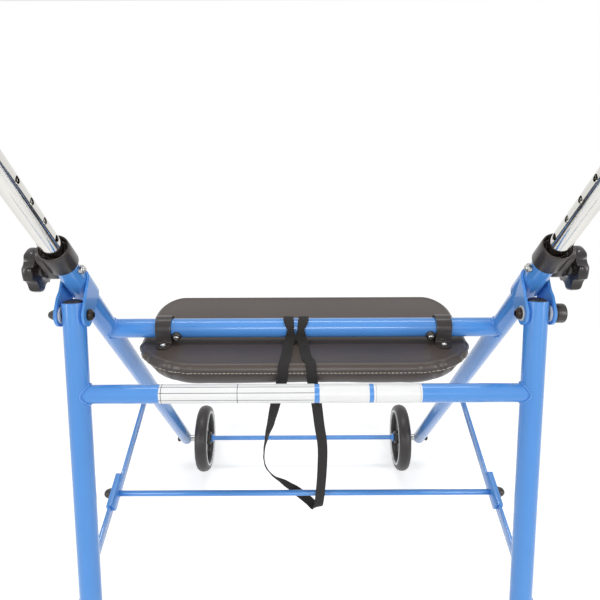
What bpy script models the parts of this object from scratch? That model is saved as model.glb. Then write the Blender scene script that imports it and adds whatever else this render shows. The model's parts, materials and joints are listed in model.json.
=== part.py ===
"""Folding walker with two front wheels, two height-adjustable handles and a flip seat.

Metres, +Z up, +Y the way the user walks, +X to the user's right. The two sides are mirror images
at SIDE_X. Each side is drawn in its own plane: "forward" and "up" are measured from the fold pivot,
and a place along a leg is its distance down the leg's axis from the pivot.
"""

import math

import bmesh
import bpy
from mathutils import Matrix, Vector

# Frame
SIDE_X = 0.226  # from the middle to the axis of each leg
TUBE_RADIUS = 0.0111
TUBE_WALL = 0.0013
FRONT_LEG_DEG = 65.16  # from the floor
REAR_LEG_DEG = 61.58
FRONT_LEG_OFFSET = 0.0315  # the front leg's axis passes this far in front of the pivot
FRONT_LEG_TOP = -0.0563
REAR_LEG_TOP = -0.0125
REAR_LEG_FLOOR_GAP = 0.013  # from the rear tube's end to the floor
CLEAR = 0.0003  # between pieces that touch

# Wheels and axle
WHEEL_RADIUS = 0.0625
TYRE_WIDTH = 0.022
TYRE_DEPTH = 0.0120
TYRE_INNER_RADIUS = WHEEL_RADIUS - TYRE_DEPTH
WHEEL_X = 0.189
AXLE_AT = 0.5769
LEG_TAIL = 0.013  # of the front leg past the axle
AXLE_RADIUS = 0.004
HUB_RADIUS = 0.0125
HUB_LENGTH = 0.024
SPOKES = 5
CROSS_ROD_RADIUS = 0.0043
CROSS_ROD_COLLAR_RADIUS = 0.0078
CROSS_ROD_COLLAR = 0.0030

# Crossbars
SEAT_BAR_AT = 0.0936
SEAT_BAR_RADIUS = 0.011
REAR_BAR_AT = 0.0801
REAR_BAR_RADIUS = 0.0095

# Hinge between the front and rear legs
PIVOT_BOLT_RADIUS = 0.004
BRACKET_SHEET = 0.0025
BRACKET_IN = TUBE_RADIUS + CLEAR + 0.0001  # from a leg's axis to the bracket's side plates
BRACKET_TOP_RADIUS = 0.0095
BRACKET_EAR_RADIUS = 0.0115
BRACKET_FLARE = 0.0014  # the outer ear stands this much further out, for the nylon washer
BRACKET_WRAP = 0.022
WASHER_THICKNESS = 0.0014
WASHER_RADIUS = 0.0085

# Handles
HANDLE_RADIUS = TUBE_RADIUS - TUBE_WALL - CLEAR  # it slides in the leg
HANDLE_WALL = 0.0014
HANDLE_HEIGHT = 0.900  # of the grip's axis over the floor, as set in the photograph
HOLE_PITCH = 0.025
HOLE_RADIUS = 0.0032
HOLES_BELOW = 2
HOLES_ABOVE = 5
HANDLE_END = 0.020  # of the tube past its lowest hole
HANDLE_BEND = 0.055
GRIP_START = 0.014
GRIP_LENGTH = 0.118
GRIP_RADIUS = 0.0150
GRIP_WAVES = 5
GRIP_WAVE_DEPTH = 0.0022
GRIP_FLANGE = 0.006
GRIP_WALL_EXTRA = 0.0018  # the flange over the grip's waves
GRIP_END = 0.004

# Collar and clamp knob
KNOB_AT = -0.0333
KNOB_BOLT_RADIUS = 0.003
COLLAR_RADIUS = TUBE_RADIUS + 0.0041
COLLAR_END = -0.0383
COLLAR_LIP = 0.0035
COLLAR_RECESS = 0.0015
TONGUE_RADIUS = 0.0088
TONGUE_OUT = TUBE_RADIUS + 0.0061  # from the leg's axis to the face that the knob screws against
KNOB_RADIUS = 0.0215
KNOB_LOBES = 4
KNOB_HEAD = 0.015
KNOB_NECK = 0.010
KNOB_NECK_RADIUS = 0.0072

# Folding stays on the outer side of the legs
FRONT_STAY_AT = 0.321
REAR_STAY_AT = 0.3275
STAY_HINGE = (-0.004, -0.286)  # forward and up from the pivot
STAY_GAP = 0.0007
FRONT_STAY_THICK = 0.0030
REAR_STAY_THICK = 0.0035
CHANNEL_SHEET = 0.0020
CHANNEL_LENGTH = 0.046
STAY_HEIGHT = 0.014
STAY_LOCK_ROOM = 0.0011  # under the channel's web: the rear bar comes up to it just past straight
STAY_BOLT_RADIUS = 0.003
FOLD_ROD_RADIUS = 0.0037

# Seat, drawn in its own frame: along the slope from the seat bar's axis, and down from it
SEAT_SLOPE_DEG = 11.5
SEAT_FACE = 0.014
SEAT_SPLIT = 0.024
SEAT_DEEP = 0.047
SEAT_HALF_WIDTH = 0.190
SEAT_NEAR = 0.066
SEAT_FAR = 0.115
NEAR_CORNER = (0.072, 0.066)
FAR_CORNER = (0.026, 0.060)
CLIP_INSET = 0.026  # of each clip's middle from the seat's side
CLIP_X = SEAT_HALF_WIDTH - CLIP_INSET
CLIP_WIDTH = 0.0175
CLIP_SHEET = 0.0018
CLIP_TAB = 0.0265  # from the bar's axis to the tab's end
SLEEVE_WALL = 0.0010
STOP_X = CLIP_X - 0.0162
STOP_DEG = 201.0  # which way the stop screws point, round the bar from forwards

# Feet
TIP_RADIUS = TUBE_RADIUS + 0.0034
TIP_FOOT_RADIUS = TIP_RADIUS + 0.0040
TIP_HEIGHT = 0.038
FLOOR_BLOCK = 0.2  # what cuts the tips off flat at the floor

# Pull strap
STRAP_WIDTH = 0.0115
STRAP_THICK = 0.0014
STRAP_LEFT_X = 0.0187  # of the left run over the seat bar, from the middle
STRAP_RIGHT_X = 0.0012
STRAP_LAP = 0.0057  # how far the ends come together behind the bar
ROUTE_UNIT = 0.001  # the strap's route below is in millimetres

TUBE_SEGMENTS = 18
CAP_SEGMENTS = 16
BOLT_SEGMENTS = 12
WHEEL_SEGMENTS = 36
SIDES = (("left", -1), ("right", 1))

FRONT_DOWN = Vector((0, math.cos(math.radians(FRONT_LEG_DEG)), -math.sin(math.radians(FRONT_LEG_DEG))))
FRONT_OUT = Vector((0, -FRONT_DOWN.z, FRONT_DOWN.y))
REAR_DOWN = Vector((0, -math.cos(math.radians(REAR_LEG_DEG)), -math.sin(math.radians(REAR_LEG_DEG))))
AXLE_FORWARD = FRONT_LEG_OFFSET * FRONT_OUT.y + AXLE_AT * FRONT_DOWN.y
AXLE_DROP = -(FRONT_LEG_OFFSET * FRONT_OUT.z + AXLE_AT * FRONT_DOWN.z)
PIVOT_HEIGHT = AXLE_DROP + WHEEL_RADIUS
FOOT_BACK = PIVOT_HEIGHT / math.tan(math.radians(REAR_LEG_DEG)) + TIP_FOOT_RADIUS / -REAR_DOWN.z
PIVOT = Vector((0, (FOOT_BACK - AXLE_FORWARD - WHEEL_RADIUS) / 2, PIVOT_HEIGHT))
X_AXIS = Vector((1, 0, 0))


def clear_scene():
    for old in list(bpy.data.objects):
        bpy.data.objects.remove(old)


def side_point(x, forward, up):
    return PIVOT + Vector((x, forward, up))


def on_front_leg(x, down):
    return PIVOT + FRONT_OUT * FRONT_LEG_OFFSET + FRONT_DOWN * down + X_AXIS * x


def on_rear_leg(x, down):
    return PIVOT + REAR_DOWN * down + X_AXIS * x


SEAT_BAR = on_front_leg(0, SEAT_BAR_AT)
REAR_BAR = on_rear_leg(0, REAR_BAR_AT)
SEAT_ALONG = Vector((0, math.cos(math.radians(SEAT_SLOPE_DEG)), -math.sin(math.radians(SEAT_SLOPE_DEG))))
SEAT_DOWN = Vector((0, SEAT_ALONG.z, -SEAT_ALONG.y))
STAY_END = side_point(0, *STAY_HINGE)


def paint(name, colour, roughness, metallic=0.0):
    """One Principled material: colour as the photograph shows it, in linear light."""
    made = bpy.data.materials.new(name)
    made.use_nodes = True
    shader = made.node_tree.nodes["Principled BSDF"]
    shader.inputs["Base Color"].default_value = (*colour, 1)
    shader.inputs["Roughness"].default_value = roughness
    shader.inputs["Metallic"].default_value = metallic
    return made


clear_scene()
BLUE = paint("blue_paint", (0.06, 0.23, 0.66), 0.25)
CHROME = paint("chrome", (0.80, 0.80, 0.82), 0.08, 1.0)
BLACK = paint("black_plastic", (0.022, 0.020, 0.019), 0.45)
RUBBER = paint("tyre_rubber", (0.055, 0.050, 0.048), 0.70)
STEEL = paint("zinc_steel", (0.62, 0.62, 0.60), 0.30, 1.0)
BLACK_STEEL = paint("black_steel", (0.030, 0.024, 0.020), 0.35, 0.6)
NYLON = paint("nylon", (0.72, 0.72, 0.70), 0.50)
VINYL = paint("black_vinyl", (0.028, 0.024, 0.022), 0.50)
WEBBING = paint("webbing", (0.022, 0.020, 0.018), 0.85)


def finish(name, shape, material, origin=None):
    """Makes the object from a bmesh in world places, with its origin at the given point."""
    bmesh.ops.remove_doubles(shape, verts=shape.verts, dist=1e-6)
    bmesh.ops.recalc_face_normals(shape, faces=shape.faces)
    place = Vector(origin) if origin is not None else Vector((0, 0, 0))
    bmesh.ops.translate(shape, vec=-place, verts=shape.verts)
    mesh = bpy.data.meshes.new(name)
    shape.to_mesh(mesh)
    shape.free()
    mesh.shade_smooth()
    mesh.set_sharp_from_angle(angle=math.radians(35))
    mesh.materials.append(material)
    made = bpy.data.objects.new(name, mesh)
    made.location = place
    bpy.context.scene.collection.objects.link(made)
    return made


def combine(piece, other, operation="DIFFERENCE"):
    """Cuts the other object out of the piece, or joins it on, and hides the other."""
    other.hide_render = True
    other.hide_set(True)
    other.display_type = "WIRE"
    step = piece.modifiers.new(other.name, "BOOLEAN")
    step.operation = operation
    step.object = other


def turned(name, profile, origin, direction, material, segments=TUBE_SEGMENTS, pivot=None):
    """Spins a profile of (radius, distance along the axis). A profile that leaves the axis is closed."""
    shape = bmesh.new()
    verts = [shape.verts.new((radius, 0, along)) for radius, along in profile]
    edges = [shape.edges.new(pair) for pair in zip(verts, verts[1:])]
    if profile[0][0] > 0:
        edges.append(shape.edges.new((verts[-1], verts[0])))
    bmesh.ops.spin(
        shape, geom=verts + edges, cent=(0, 0, 0), axis=(0, 0, 1), angle=math.tau, steps=segments, use_merge=True
    )
    turn = Vector((0, 0, 1)).rotation_difference(Vector(direction)).to_matrix().to_4x4()
    shape.transform(Matrix.Translation(origin) @ turn)
    return finish(name, shape, material, pivot)


def rod(name, start, end, radius, material, segments=TUBE_SEGMENTS, pivot=None):
    length = (end - start).length
    return turned(name, [(0, 0), (radius, 0), (radius, length), (0, length)], start, end - start,
                  material, segments, pivot)


def prism(name, outline, depth, material, pivot=None):
    """Extrudes a flat outline of world points by the depth vector."""
    shape = bmesh.new()
    face = shape.faces.new([shape.verts.new(point) for point in outline])
    made = bmesh.ops.extrude_face_region(shape, geom=[face])
    moved = [item for item in made["geom"] if isinstance(item, bmesh.types.BMVert)]
    bmesh.ops.translate(shape, vec=depth, verts=moved)
    return finish(name, shape, material, pivot)


def loft(name, rings, material, closed=False, pivot=None):
    """Skins rings of the same number of points. Open ends are capped; a closed loft meets itself."""
    shape = bmesh.new()
    made = [[shape.verts.new(point) for point in ring] for ring in rings]
    pairs = list(zip(made, made[1:])) + ([(made[-1], made[0])] if closed else [])
    for ring, following in pairs:
        for i in range(len(ring)):
            j = (i + 1) % len(ring)
            shape.faces.new((ring[i], ring[j], following[j], following[i]))
    if not closed:
        shape.faces.new(made[0][::-1])
        shape.faces.new(made[-1])
    return finish(name, shape, material, pivot)


def hull_outline(first, first_radius, second, second_radius, steps=8):
    """The outline round two circles in a side plane, as (forward, up) pairs."""
    across = Vector(second) - Vector(first)
    lean = math.acos((first_radius - second_radius) / across.length)
    heading = math.atan2(across.y, across.x)
    points = []
    for centre, radius, begin, sweep in (
        (first, first_radius, heading + lean, math.tau - 2 * lean),
        (second, second_radius, heading - lean, 2 * lean),
    ):
        for i in range(steps + 1):
            turn = begin + sweep * i / steps
            points.append((centre[0] + radius * math.cos(turn), centre[1] + radius * math.sin(turn)))
    return points


def hole_cutter(name, centre, radius, half_length, direction=X_AXIS, segments=BOLT_SEGMENTS):
    reach = Vector(direction).normalized() * half_length
    return rod(name, centre - reach, centre + reach, radius, STEEL, segments)


def make_front_leg(side, sign):
    """Bent-free tube, open at the top for the handle and pressed to a round end under the axle."""
    inner = TUBE_RADIUS - TUBE_WALL
    end = AXLE_AT + LEG_TAIL
    rounding = [(TUBE_RADIUS * math.cos(a), end - TUBE_RADIUS + TUBE_RADIUS * math.sin(a) * 0.9)
                for a in (math.radians(d) for d in (0, 25, 50, 72))]
    profile = [(0, end - TUBE_RADIUS * 0.1 - TUBE_WALL), (inner, end - TUBE_RADIUS * 1.1), (inner, FRONT_LEG_TOP),
               (TUBE_RADIUS, FRONT_LEG_TOP), *rounding, (0, end - TUBE_RADIUS * 0.1)]
    leg = turned(f"front_leg_{side}", profile, on_front_leg(sign * SIDE_X, 0), FRONT_DOWN, BLUE)
    for name, down, radius in (("knob", KNOB_AT, KNOB_BOLT_RADIUS), ("stay", FRONT_STAY_AT, STAY_BOLT_RADIUS),
                               ("axle", AXLE_AT, AXLE_RADIUS)):
        centre = on_front_leg(sign * SIDE_X, down)
        combine(leg, hole_cutter(f"cut_{name}_{side}", centre, radius + CLEAR, 2 * TUBE_RADIUS))


def make_crossbar(name, centre, radius, leg_point, leg_direction):
    """A straight tube coped to the legs at both ends, as it is welded."""
    reach = X_AXIS * (SIDE_X - 0.002)
    bar = rod(name, centre - reach, centre + reach, radius, BLUE)
    for side, sign in SIDES:
        middle = leg_point + X_AXIS * (sign * SIDE_X)
        cope = hole_cutter(f"cope_{name}_{side}", middle, TUBE_RADIUS + CLEAR, 0.05, leg_direction, TUBE_SEGMENTS)
        combine(bar, cope)


def make_bracket(side, sign):
    """Sheet steel wrapped round the front tube, with an ear on each side of the rear tube."""
    top = on_front_leg(0, KNOB_AT) - PIVOT
    outline = hull_outline((top.y, top.z), BRACKET_TOP_RADIUS, (0, 0), BRACKET_EAR_RADIUS)
    axis_x = sign * SIDE_X
    wrap_top = on_front_leg(axis_x, COLLAR_END + CLEAR)
    wrap = BRACKET_IN + BRACKET_SHEET - 0.00005
    half_round = [wrap_top + X_AXIS * (wrap * math.cos(a)) + FRONT_OUT * (wrap * math.sin(a))
                  for a in (math.pi * i / 14 for i in range(15))]
    bracket = prism(f"hinge_bracket_{side}", half_round, FRONT_DOWN * BRACKET_WRAP, BLUE)
    for ear, way, flare in (("inner", -sign, 0.0), ("outer", sign, BRACKET_FLARE)):
        combine(bracket, make_ear(f"ear_{ear}_{side}", axis_x, way, flare, top, outline), "UNION")
    space_top = on_front_leg(axis_x, -0.1)
    tube_space = rod(f"tube_space_{side}", space_top, on_front_leg(axis_x, 0.15), TUBE_RADIUS + CLEAR, BLUE)
    combine(bracket, tube_space)
    combine(bracket, rod(f"collar_room_{side}", space_top, wrap_top, 0.03, BLUE))
    combine(bracket, hole_cutter(f"cut_ears_{side}", side_point(axis_x, 0, 0), PIVOT_BOLT_RADIUS + CLEAR, 0.03))
    knob_centre = on_front_leg(axis_x, KNOB_AT)
    combine(bracket, hole_cutter(f"cut_ear_knob_{side}", knob_centre, KNOB_BOLT_RADIUS + CLEAR, 0.03))


def make_ear(name, axis_x, way, flare, top, outline):
    """One side plate. Its lower half steps outwards by the flare."""
    face_points = [side_point(axis_x + way * BRACKET_IN, forward, up) for forward, up in outline]
    shape = bmesh.new()
    face = shape.faces.new([shape.verts.new(point) for point in face_points])
    made = bmesh.ops.extrude_face_region(shape, geom=[face])
    moved = [item for item in made["geom"] if isinstance(item, bmesh.types.BMVert)]
    bmesh.ops.translate(shape, vec=X_AXIS * (way * BRACKET_SHEET), verts=moved)
    for share in (0.62, 0.38):
        everything = shape.verts[:] + shape.edges[:] + shape.faces[:]
        bmesh.ops.bisect_plane(shape, geom=everything, plane_co=PIVOT + top * share, plane_no=top)
    for vert in shape.verts:
        if (vert.co - PIVOT).dot(top) / top.length_squared < 0.5:
            vert.co.x += way * flare
    return finish(name, shape, BLUE)


def make_rear_leg(side, sign):
    inner = TUBE_RADIUS - TUBE_WALL
    length = (PIVOT_HEIGHT - REAR_LEG_FLOOR_GAP) / -REAR_DOWN.z
    profile = [(inner, REAR_LEG_TOP), (TUBE_RADIUS, REAR_LEG_TOP), (TUBE_RADIUS, length), (inner, length)]
    pivot = side_point(sign * SIDE_X, 0, 0)
    leg = turned(f"rear_leg_{side}", profile, on_rear_leg(sign * SIDE_X, 0), REAR_DOWN, BLUE, pivot=pivot)
    combine(leg, hole_cutter(f"cut_pivot_{side}", pivot, PIVOT_BOLT_RADIUS + CLEAR, 0.03))
    plug = inner - CLEAR
    top = REAR_LEG_TOP + 0.001
    plug_profile = [(0, top + 0.0015), (plug - 0.003, top + 0.0015), (plug - 0.002, top), (plug, top),
                    (plug, top + 0.0065), (0, top + 0.0065)]
    turned(f"leg_plug_{side}", plug_profile, on_rear_leg(sign * SIDE_X, 0), REAR_DOWN, BLACK, pivot=pivot)
    make_foot_tip(side, sign, length, pivot)


def make_foot_tip(side, sign, tube_end, pivot):
    """Rubber ferrule over the tube's end, flared at the foot and cut flat where it stands."""
    bore = TUBE_RADIUS + CLEAR
    floor = PIVOT_HEIGHT / -REAR_DOWN.z
    rim = floor - TIP_HEIGHT
    ringed = [(TIP_RADIUS + 0.001 * (i % 2), rim + 0.008 + 0.004 * i) for i in range(4)]
    profile = [(0, tube_end + CLEAR), (bore, tube_end + CLEAR), (bore, rim), (TIP_RADIUS - 0.001, rim), *ringed,
               (TIP_FOOT_RADIUS, floor - 0.008), (TIP_FOOT_RADIUS, floor + 0.03), (0, floor + 0.03)]
    tip = turned(f"foot_tip_{side}", profile, on_rear_leg(sign * SIDE_X, 0), REAR_DOWN, RUBBER, pivot=pivot)
    shape = bmesh.new()
    bmesh.ops.create_cube(shape, size=FLOOR_BLOCK)
    bmesh.ops.translate(shape, vec=(sign * SIDE_X, on_rear_leg(0, floor).y, -FLOOR_BLOCK / 2), verts=shape.verts)
    combine(tip, finish(f"floor_cut_{side}", shape, RUBBER))


def make_pivot_hardware(side, sign):
    """The hinge bolt, its outer cap and washers: a cone cap on the left and a round one on the right."""
    inner_face = SIDE_X - BRACKET_IN - BRACKET_SHEET
    outer_face = SIDE_X + BRACKET_IN + BRACKET_SHEET + BRACKET_FLARE
    head_washer = 0.0010 if side == "right" else 0.0
    head = inner_face - CLEAR - head_washer - (CLEAR if head_washer else 0)
    shank_end = outer_face + 0.0055
    profile = [(0, head - 0.0034), (0.0030, head - 0.0034), (0.0052, head - 0.0018), (0.0055, head),
               (PIVOT_BOLT_RADIUS, head), (PIVOT_BOLT_RADIUS, shank_end), (0, shank_end)]
    centre = side_point(0, 0, 0)
    outwards = X_AXIS * sign
    turned(f"pivot_bolt_{side}", profile, centre, outwards, BLACK_STEEL, BOLT_SEGMENTS)
    bore = PIVOT_BOLT_RADIUS + CLEAR
    seat = outer_face + CLEAR
    if side == "left":
        outside = [(0.0078, seat), (0.0078, seat + 0.0012), (0.0064, seat + 0.0015), (0.0034, seat + 0.0078),
                   (0.0018, seat + 0.0090), (0, seat + 0.0092)]
    else:
        outside = [(0.0092, seat), (0.0096, seat + 0.0010), (0.0096, seat + 0.0095), (0.0084, seat + 0.0110),
                   (0, seat + 0.0112)]
    profile = [(0, shank_end + CLEAR), (bore, shank_end + CLEAR), (bore, seat), *outside]
    turned(f"pivot_cap_{side}", profile, centre, outwards, BLACK, CAP_SEGMENTS)
    start = SIDE_X + TUBE_RADIUS + CLEAR / 2
    make_washer(f"pivot_washer_{side}", centre, outwards, start, WASHER_THICKNESS, WASHER_RADIUS, bore, centre)
    if head_washer:
        start = inner_face - CLEAR - head_washer
        make_washer(f"head_washer_{side}", centre, outwards, start, head_washer, 0.0075, bore)


def make_washer(name, centre, direction, start, thickness, radius, bore, pivot=None):
    profile = [(bore, start), (radius, start), (radius, start + thickness), (bore, start + thickness)]
    turned(name, profile, centre, direction, NYLON, CAP_SEGMENTS, pivot)


def make_collar(side, sign):
    """Moulded ring over the tube's mouth, with an outer tongue that the clamp knob screws against."""
    top = FRONT_LEG_TOP - CLEAR - COLLAR_LIP
    profile = [(0, top), (COLLAR_RADIUS - 0.0012, top), (COLLAR_RADIUS, top + 0.0012),
               (COLLAR_RADIUS, COLLAR_END - 0.0008), (COLLAR_RADIUS - 0.0008, COLLAR_END), (0, COLLAR_END)]
    axis_x = sign * SIDE_X
    axis_point = on_front_leg(axis_x, 0)
    collar = turned(f"collar_{side}", profile, axis_point, FRONT_DOWN, BLACK)
    high = on_front_leg(0, top + TONGUE_RADIUS + 0.002)
    low = on_front_leg(0, KNOB_AT)
    outline = hull_outline((high.y, high.z), TONGUE_RADIUS, (low.y, low.z), TONGUE_RADIUS * 0.999)
    inside = BRACKET_IN + BRACKET_SHEET + CLEAR
    face = [Vector((axis_x + sign * inside, forward, up)) for forward, up in outline]
    combine(collar, prism(f"tongue_{side}", face, X_AXIS * (sign * (TONGUE_OUT - inside)), BLACK), "UNION")
    mouth = HANDLE_RADIUS + 0.0028
    lip_bore = HANDLE_RADIUS + CLEAR
    outer_bore = TUBE_RADIUS + CLEAR
    step = FRONT_LEG_TOP - CLEAR
    space = [(0, top - 0.01), (mouth, top - 0.01), (mouth, top + COLLAR_RECESS), (lip_bore, top + COLLAR_RECESS),
             (lip_bore, step), (outer_bore, step), (outer_bore, 0), (0, 0)]
    combine(collar, turned(f"collar_space_{side}", space, axis_point, FRONT_DOWN, BLACK))
    bolt_at = on_front_leg(axis_x, KNOB_AT)
    combine(collar, hole_cutter(f"cut_collar_{side}", bolt_at, KNOB_BOLT_RADIUS + CLEAR, 0.03))


def make_knob(side, sign):
    """Lobed clamp knob. Its bolt stops in the tube's wall, clear of the handle that it clamps."""
    centre = on_front_leg(sign * SIDE_X, KNOB_AT)
    outwards = X_AXIS * sign
    seat = TONGUE_OUT + CLEAR
    neck_end = seat + KNOB_NECK
    points = []
    steps = 36
    for i in range(steps):
        turn = math.tau * i / steps
        swell = 0.5 + 0.5 * math.cos(KNOB_LOBES * turn)
        radius = KNOB_RADIUS * (0.52 + 0.48 * swell ** 0.8)
        points.append((math.cos(turn) * radius, math.sin(turn) * radius))
    rings = []
    for share, along in ((0.80, neck_end - 0.0005), (0.97, neck_end + 0.0020), (1.0, neck_end + 0.0060),
                         (0.97, neck_end + KNOB_HEAD - 0.0035), (0.80, neck_end + KNOB_HEAD)):
        rings.append([centre + outwards * along + FRONT_DOWN * (share * a) + FRONT_OUT * (share * b)
                      for a, b in points])
    knob = loft(f"clamp_knob_{side}", rings, BLACK, pivot=centre)
    tip = HANDLE_RADIUS + 2 * CLEAR
    shank = [(0, tip), (KNOB_BOLT_RADIUS, tip), (KNOB_BOLT_RADIUS, seat), (KNOB_NECK_RADIUS, seat),
             (KNOB_NECK_RADIUS, neck_end + 0.004), (0, neck_end + 0.004)]
    combine(knob, turned(f"knob_neck_{side}", shank, centre, outwards, BLACK, CAP_SEGMENTS), "UNION")


def make_clamp_nut(side, sign):
    """Silver nut on the tube's inner side, where the clamp bolt comes out."""
    centre = on_front_leg(sign * SIDE_X, KNOB_AT)
    inwards = X_AXIS * -sign
    face = BRACKET_IN + BRACKET_SHEET + CLEAR
    tip = HANDLE_RADIUS + 2 * CLEAR
    profile = [(0, tip), (KNOB_BOLT_RADIUS, tip), (KNOB_BOLT_RADIUS, face), (0.0044, face), (0.0044, face + 0.0026),
               (0.0036, face + 0.0040), (KNOB_BOLT_RADIUS * 0.8, face + 0.0044), (0, face + 0.0052)]
    turned(f"clamp_nut_{side}", profile, centre, inwards, STEEL, BOLT_SEGMENTS)


def bend_top():
    """Where the handle's bend meets the level stretch that carries the grip."""
    rise = HANDLE_HEIGHT - PIVOT_HEIGHT
    corner_at = -(rise - FRONT_LEG_OFFSET * FRONT_OUT.z) / -FRONT_DOWN.z
    corner = on_front_leg(0, corner_at)
    tangent = HANDLE_BEND * math.tan(math.radians(FRONT_LEG_DEG) / 2)
    return corner + Vector((0, -tangent, 0))


def handle_pipe(name, radius, start, finish_at, high, x):
    """A round bar along the straight, round the bend and back to the grip's end, skinned ring by ring."""
    centre = high - Vector((0, 0, HANDLE_BEND))
    points = [start]
    headings = [-FRONT_DOWN]
    steps = 6
    for i in range(steps + 1):
        turn = math.radians(90 - FRONT_LEG_DEG + FRONT_LEG_DEG * i / steps)
        points.append(centre + Vector((0, HANDLE_BEND * math.cos(turn), HANDLE_BEND * math.sin(turn))))
        headings.append(Vector((0, -math.sin(turn), math.cos(turn))))
    points.append(finish_at)
    headings.append(headings[-1])
    rings = []
    for point, heading in zip(points, headings):
        across = X_AXIS.cross(heading)
        rings.append([point + X_AXIS * (x + radius * math.cos(a)) + across * (radius * math.sin(a))
                      for a in (math.tau * i / TUBE_SEGMENTS for i in range(TUBE_SEGMENTS))])
    return loft(name, rings, CHROME)


def make_handle(side, sign):
    """Chrome tube that slides in the front leg, bent back to the grip, with its row of holes."""
    high = bend_top()
    axis_x = sign * SIDE_X
    bottom_at = KNOB_AT + HOLES_BELOW * HOLE_PITCH + HANDLE_END
    grip_end = high + Vector((0, -GRIP_START - GRIP_LENGTH + GRIP_END, 0))
    tube = handle_pipe(f"handle_tube_{side}", HANDLE_RADIUS, on_front_leg(0, bottom_at), grip_end, high, axis_x)
    bore_end = grip_end + Vector((0, 0.004, 0))
    bore_start = on_front_leg(0, bottom_at + 0.01)
    bore = handle_pipe(f"bore_{side}", HANDLE_RADIUS - HANDLE_WALL, bore_start, bore_end, high, axis_x)
    combine(tube, bore)
    for hole in range(-HOLES_BELOW, HOLES_ABOVE + 1):
        centre = on_front_leg(axis_x, KNOB_AT - hole * HOLE_PITCH)
        combine(tube, hole_cutter(f"hole_{side}_{hole + HOLES_BELOW}", centre, HOLE_RADIUS, 0.02, segments=8))
    make_grip(side, axis_x, high)


def make_grip(side, axis_x, high):
    """Black moulded grip with finger waves, closed at its end."""
    bore = HANDLE_RADIUS + CLEAR
    start = GRIP_START
    end = GRIP_START + GRIP_LENGTH
    waves = []
    steps = 2 * GRIP_WAVES
    for i in range(steps + 1):
        along = start + GRIP_FLANGE + 0.002 + (GRIP_LENGTH - GRIP_FLANGE - 0.012) * i / steps
        waves.append((GRIP_RADIUS - GRIP_WAVE_DEPTH * (i % 2), along))
    flange = GRIP_RADIUS + GRIP_WALL_EXTRA
    profile = [(0, end - GRIP_END + CLEAR), (bore, end - GRIP_END + CLEAR), (bore, start), (flange - 0.0010, start),
               (flange, start + 0.0015), (flange, start + GRIP_FLANGE - 0.0015),
               (GRIP_RADIUS + 0.0005, start + GRIP_FLANGE), *waves, (GRIP_RADIUS + 0.0010, end - 0.006),
               (GRIP_RADIUS + 0.0010, end - 0.002), (GRIP_RADIUS - 0.0010, end), (0, end)]
    origin = Vector((axis_x, high.y, high.z))
    turned(f"grip_{side}", profile, origin, Vector((0, -1, 0)), BLACK)


def make_wheel(side, sign):
    """Solid tyre on a spoked rim that turns on the axle bolt."""
    centre = on_front_leg(sign * WHEEL_X, AXLE_AT)
    half = TYRE_WIDTH / 2
    shoulder = WHEEL_RADIUS - 0.0055
    crown = WHEEL_RADIUS - 0.0009
    profile = [(TYRE_INNER_RADIUS, -half + 0.002), (TYRE_INNER_RADIUS + 0.0025, -half), (shoulder, -half),
               (crown, -half + 0.005), (WHEEL_RADIUS, 0), (crown, half - 0.005), (shoulder, half),
               (TYRE_INNER_RADIUS + 0.0025, half), (TYRE_INNER_RADIUS, half - 0.002)]
    turned(f"tyre_{side}", profile, centre, X_AXIS * sign, RUBBER, WHEEL_SEGMENTS, centre)
    rim_out = TYRE_INNER_RADIUS - CLEAR
    rim_profile = [(rim_out - 0.0045, -half + 0.003), (rim_out, -half + 0.0022), (rim_out, half - 0.0022),
                   (rim_out - 0.0045, half - 0.003)]
    rim = turned(f"rim_{side}", rim_profile, centre, X_AXIS * sign, BLACK, WHEEL_SEGMENTS, centre)
    bore = AXLE_RADIUS + CLEAR
    hub = turned(f"hub_{side}", [(bore, -HUB_LENGTH / 2), (HUB_RADIUS - 0.002, -HUB_LENGTH / 2),
                                 (HUB_RADIUS, -HUB_LENGTH / 2 + 0.003), (HUB_RADIUS, HUB_LENGTH / 2 - 0.003),
                                 (HUB_RADIUS - 0.002, HUB_LENGTH / 2), (bore, HUB_LENGTH / 2)],
                 centre, X_AXIS * sign, BLACK, CAP_SEGMENTS)
    combine(rim, hub, "UNION")
    for i in range(SPOKES):
        turn = math.tau * (i + 0.25) / SPOKES
        out = Vector((0, math.cos(turn), math.sin(turn)))
        across = X_AXIS.cross(out)
        near, far = HUB_RADIUS - 0.003, rim_out - 0.002
        outline = [centre + out * near + across * 0.0085, centre + out * (0.5 * (near + far)) + across * 0.0060,
                   centre + out * far + across * 0.0085, centre + out * far - across * 0.0085,
                   centre + out * (0.5 * (near + far)) - across * 0.0060, centre + out * near - across * 0.0085]
        outline = [point - X_AXIS * 0.0045 for point in outline]
        combine(rim, prism(f"spoke_{side}_{i}", outline, X_AXIS * 0.009, BLACK), "UNION")


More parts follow.
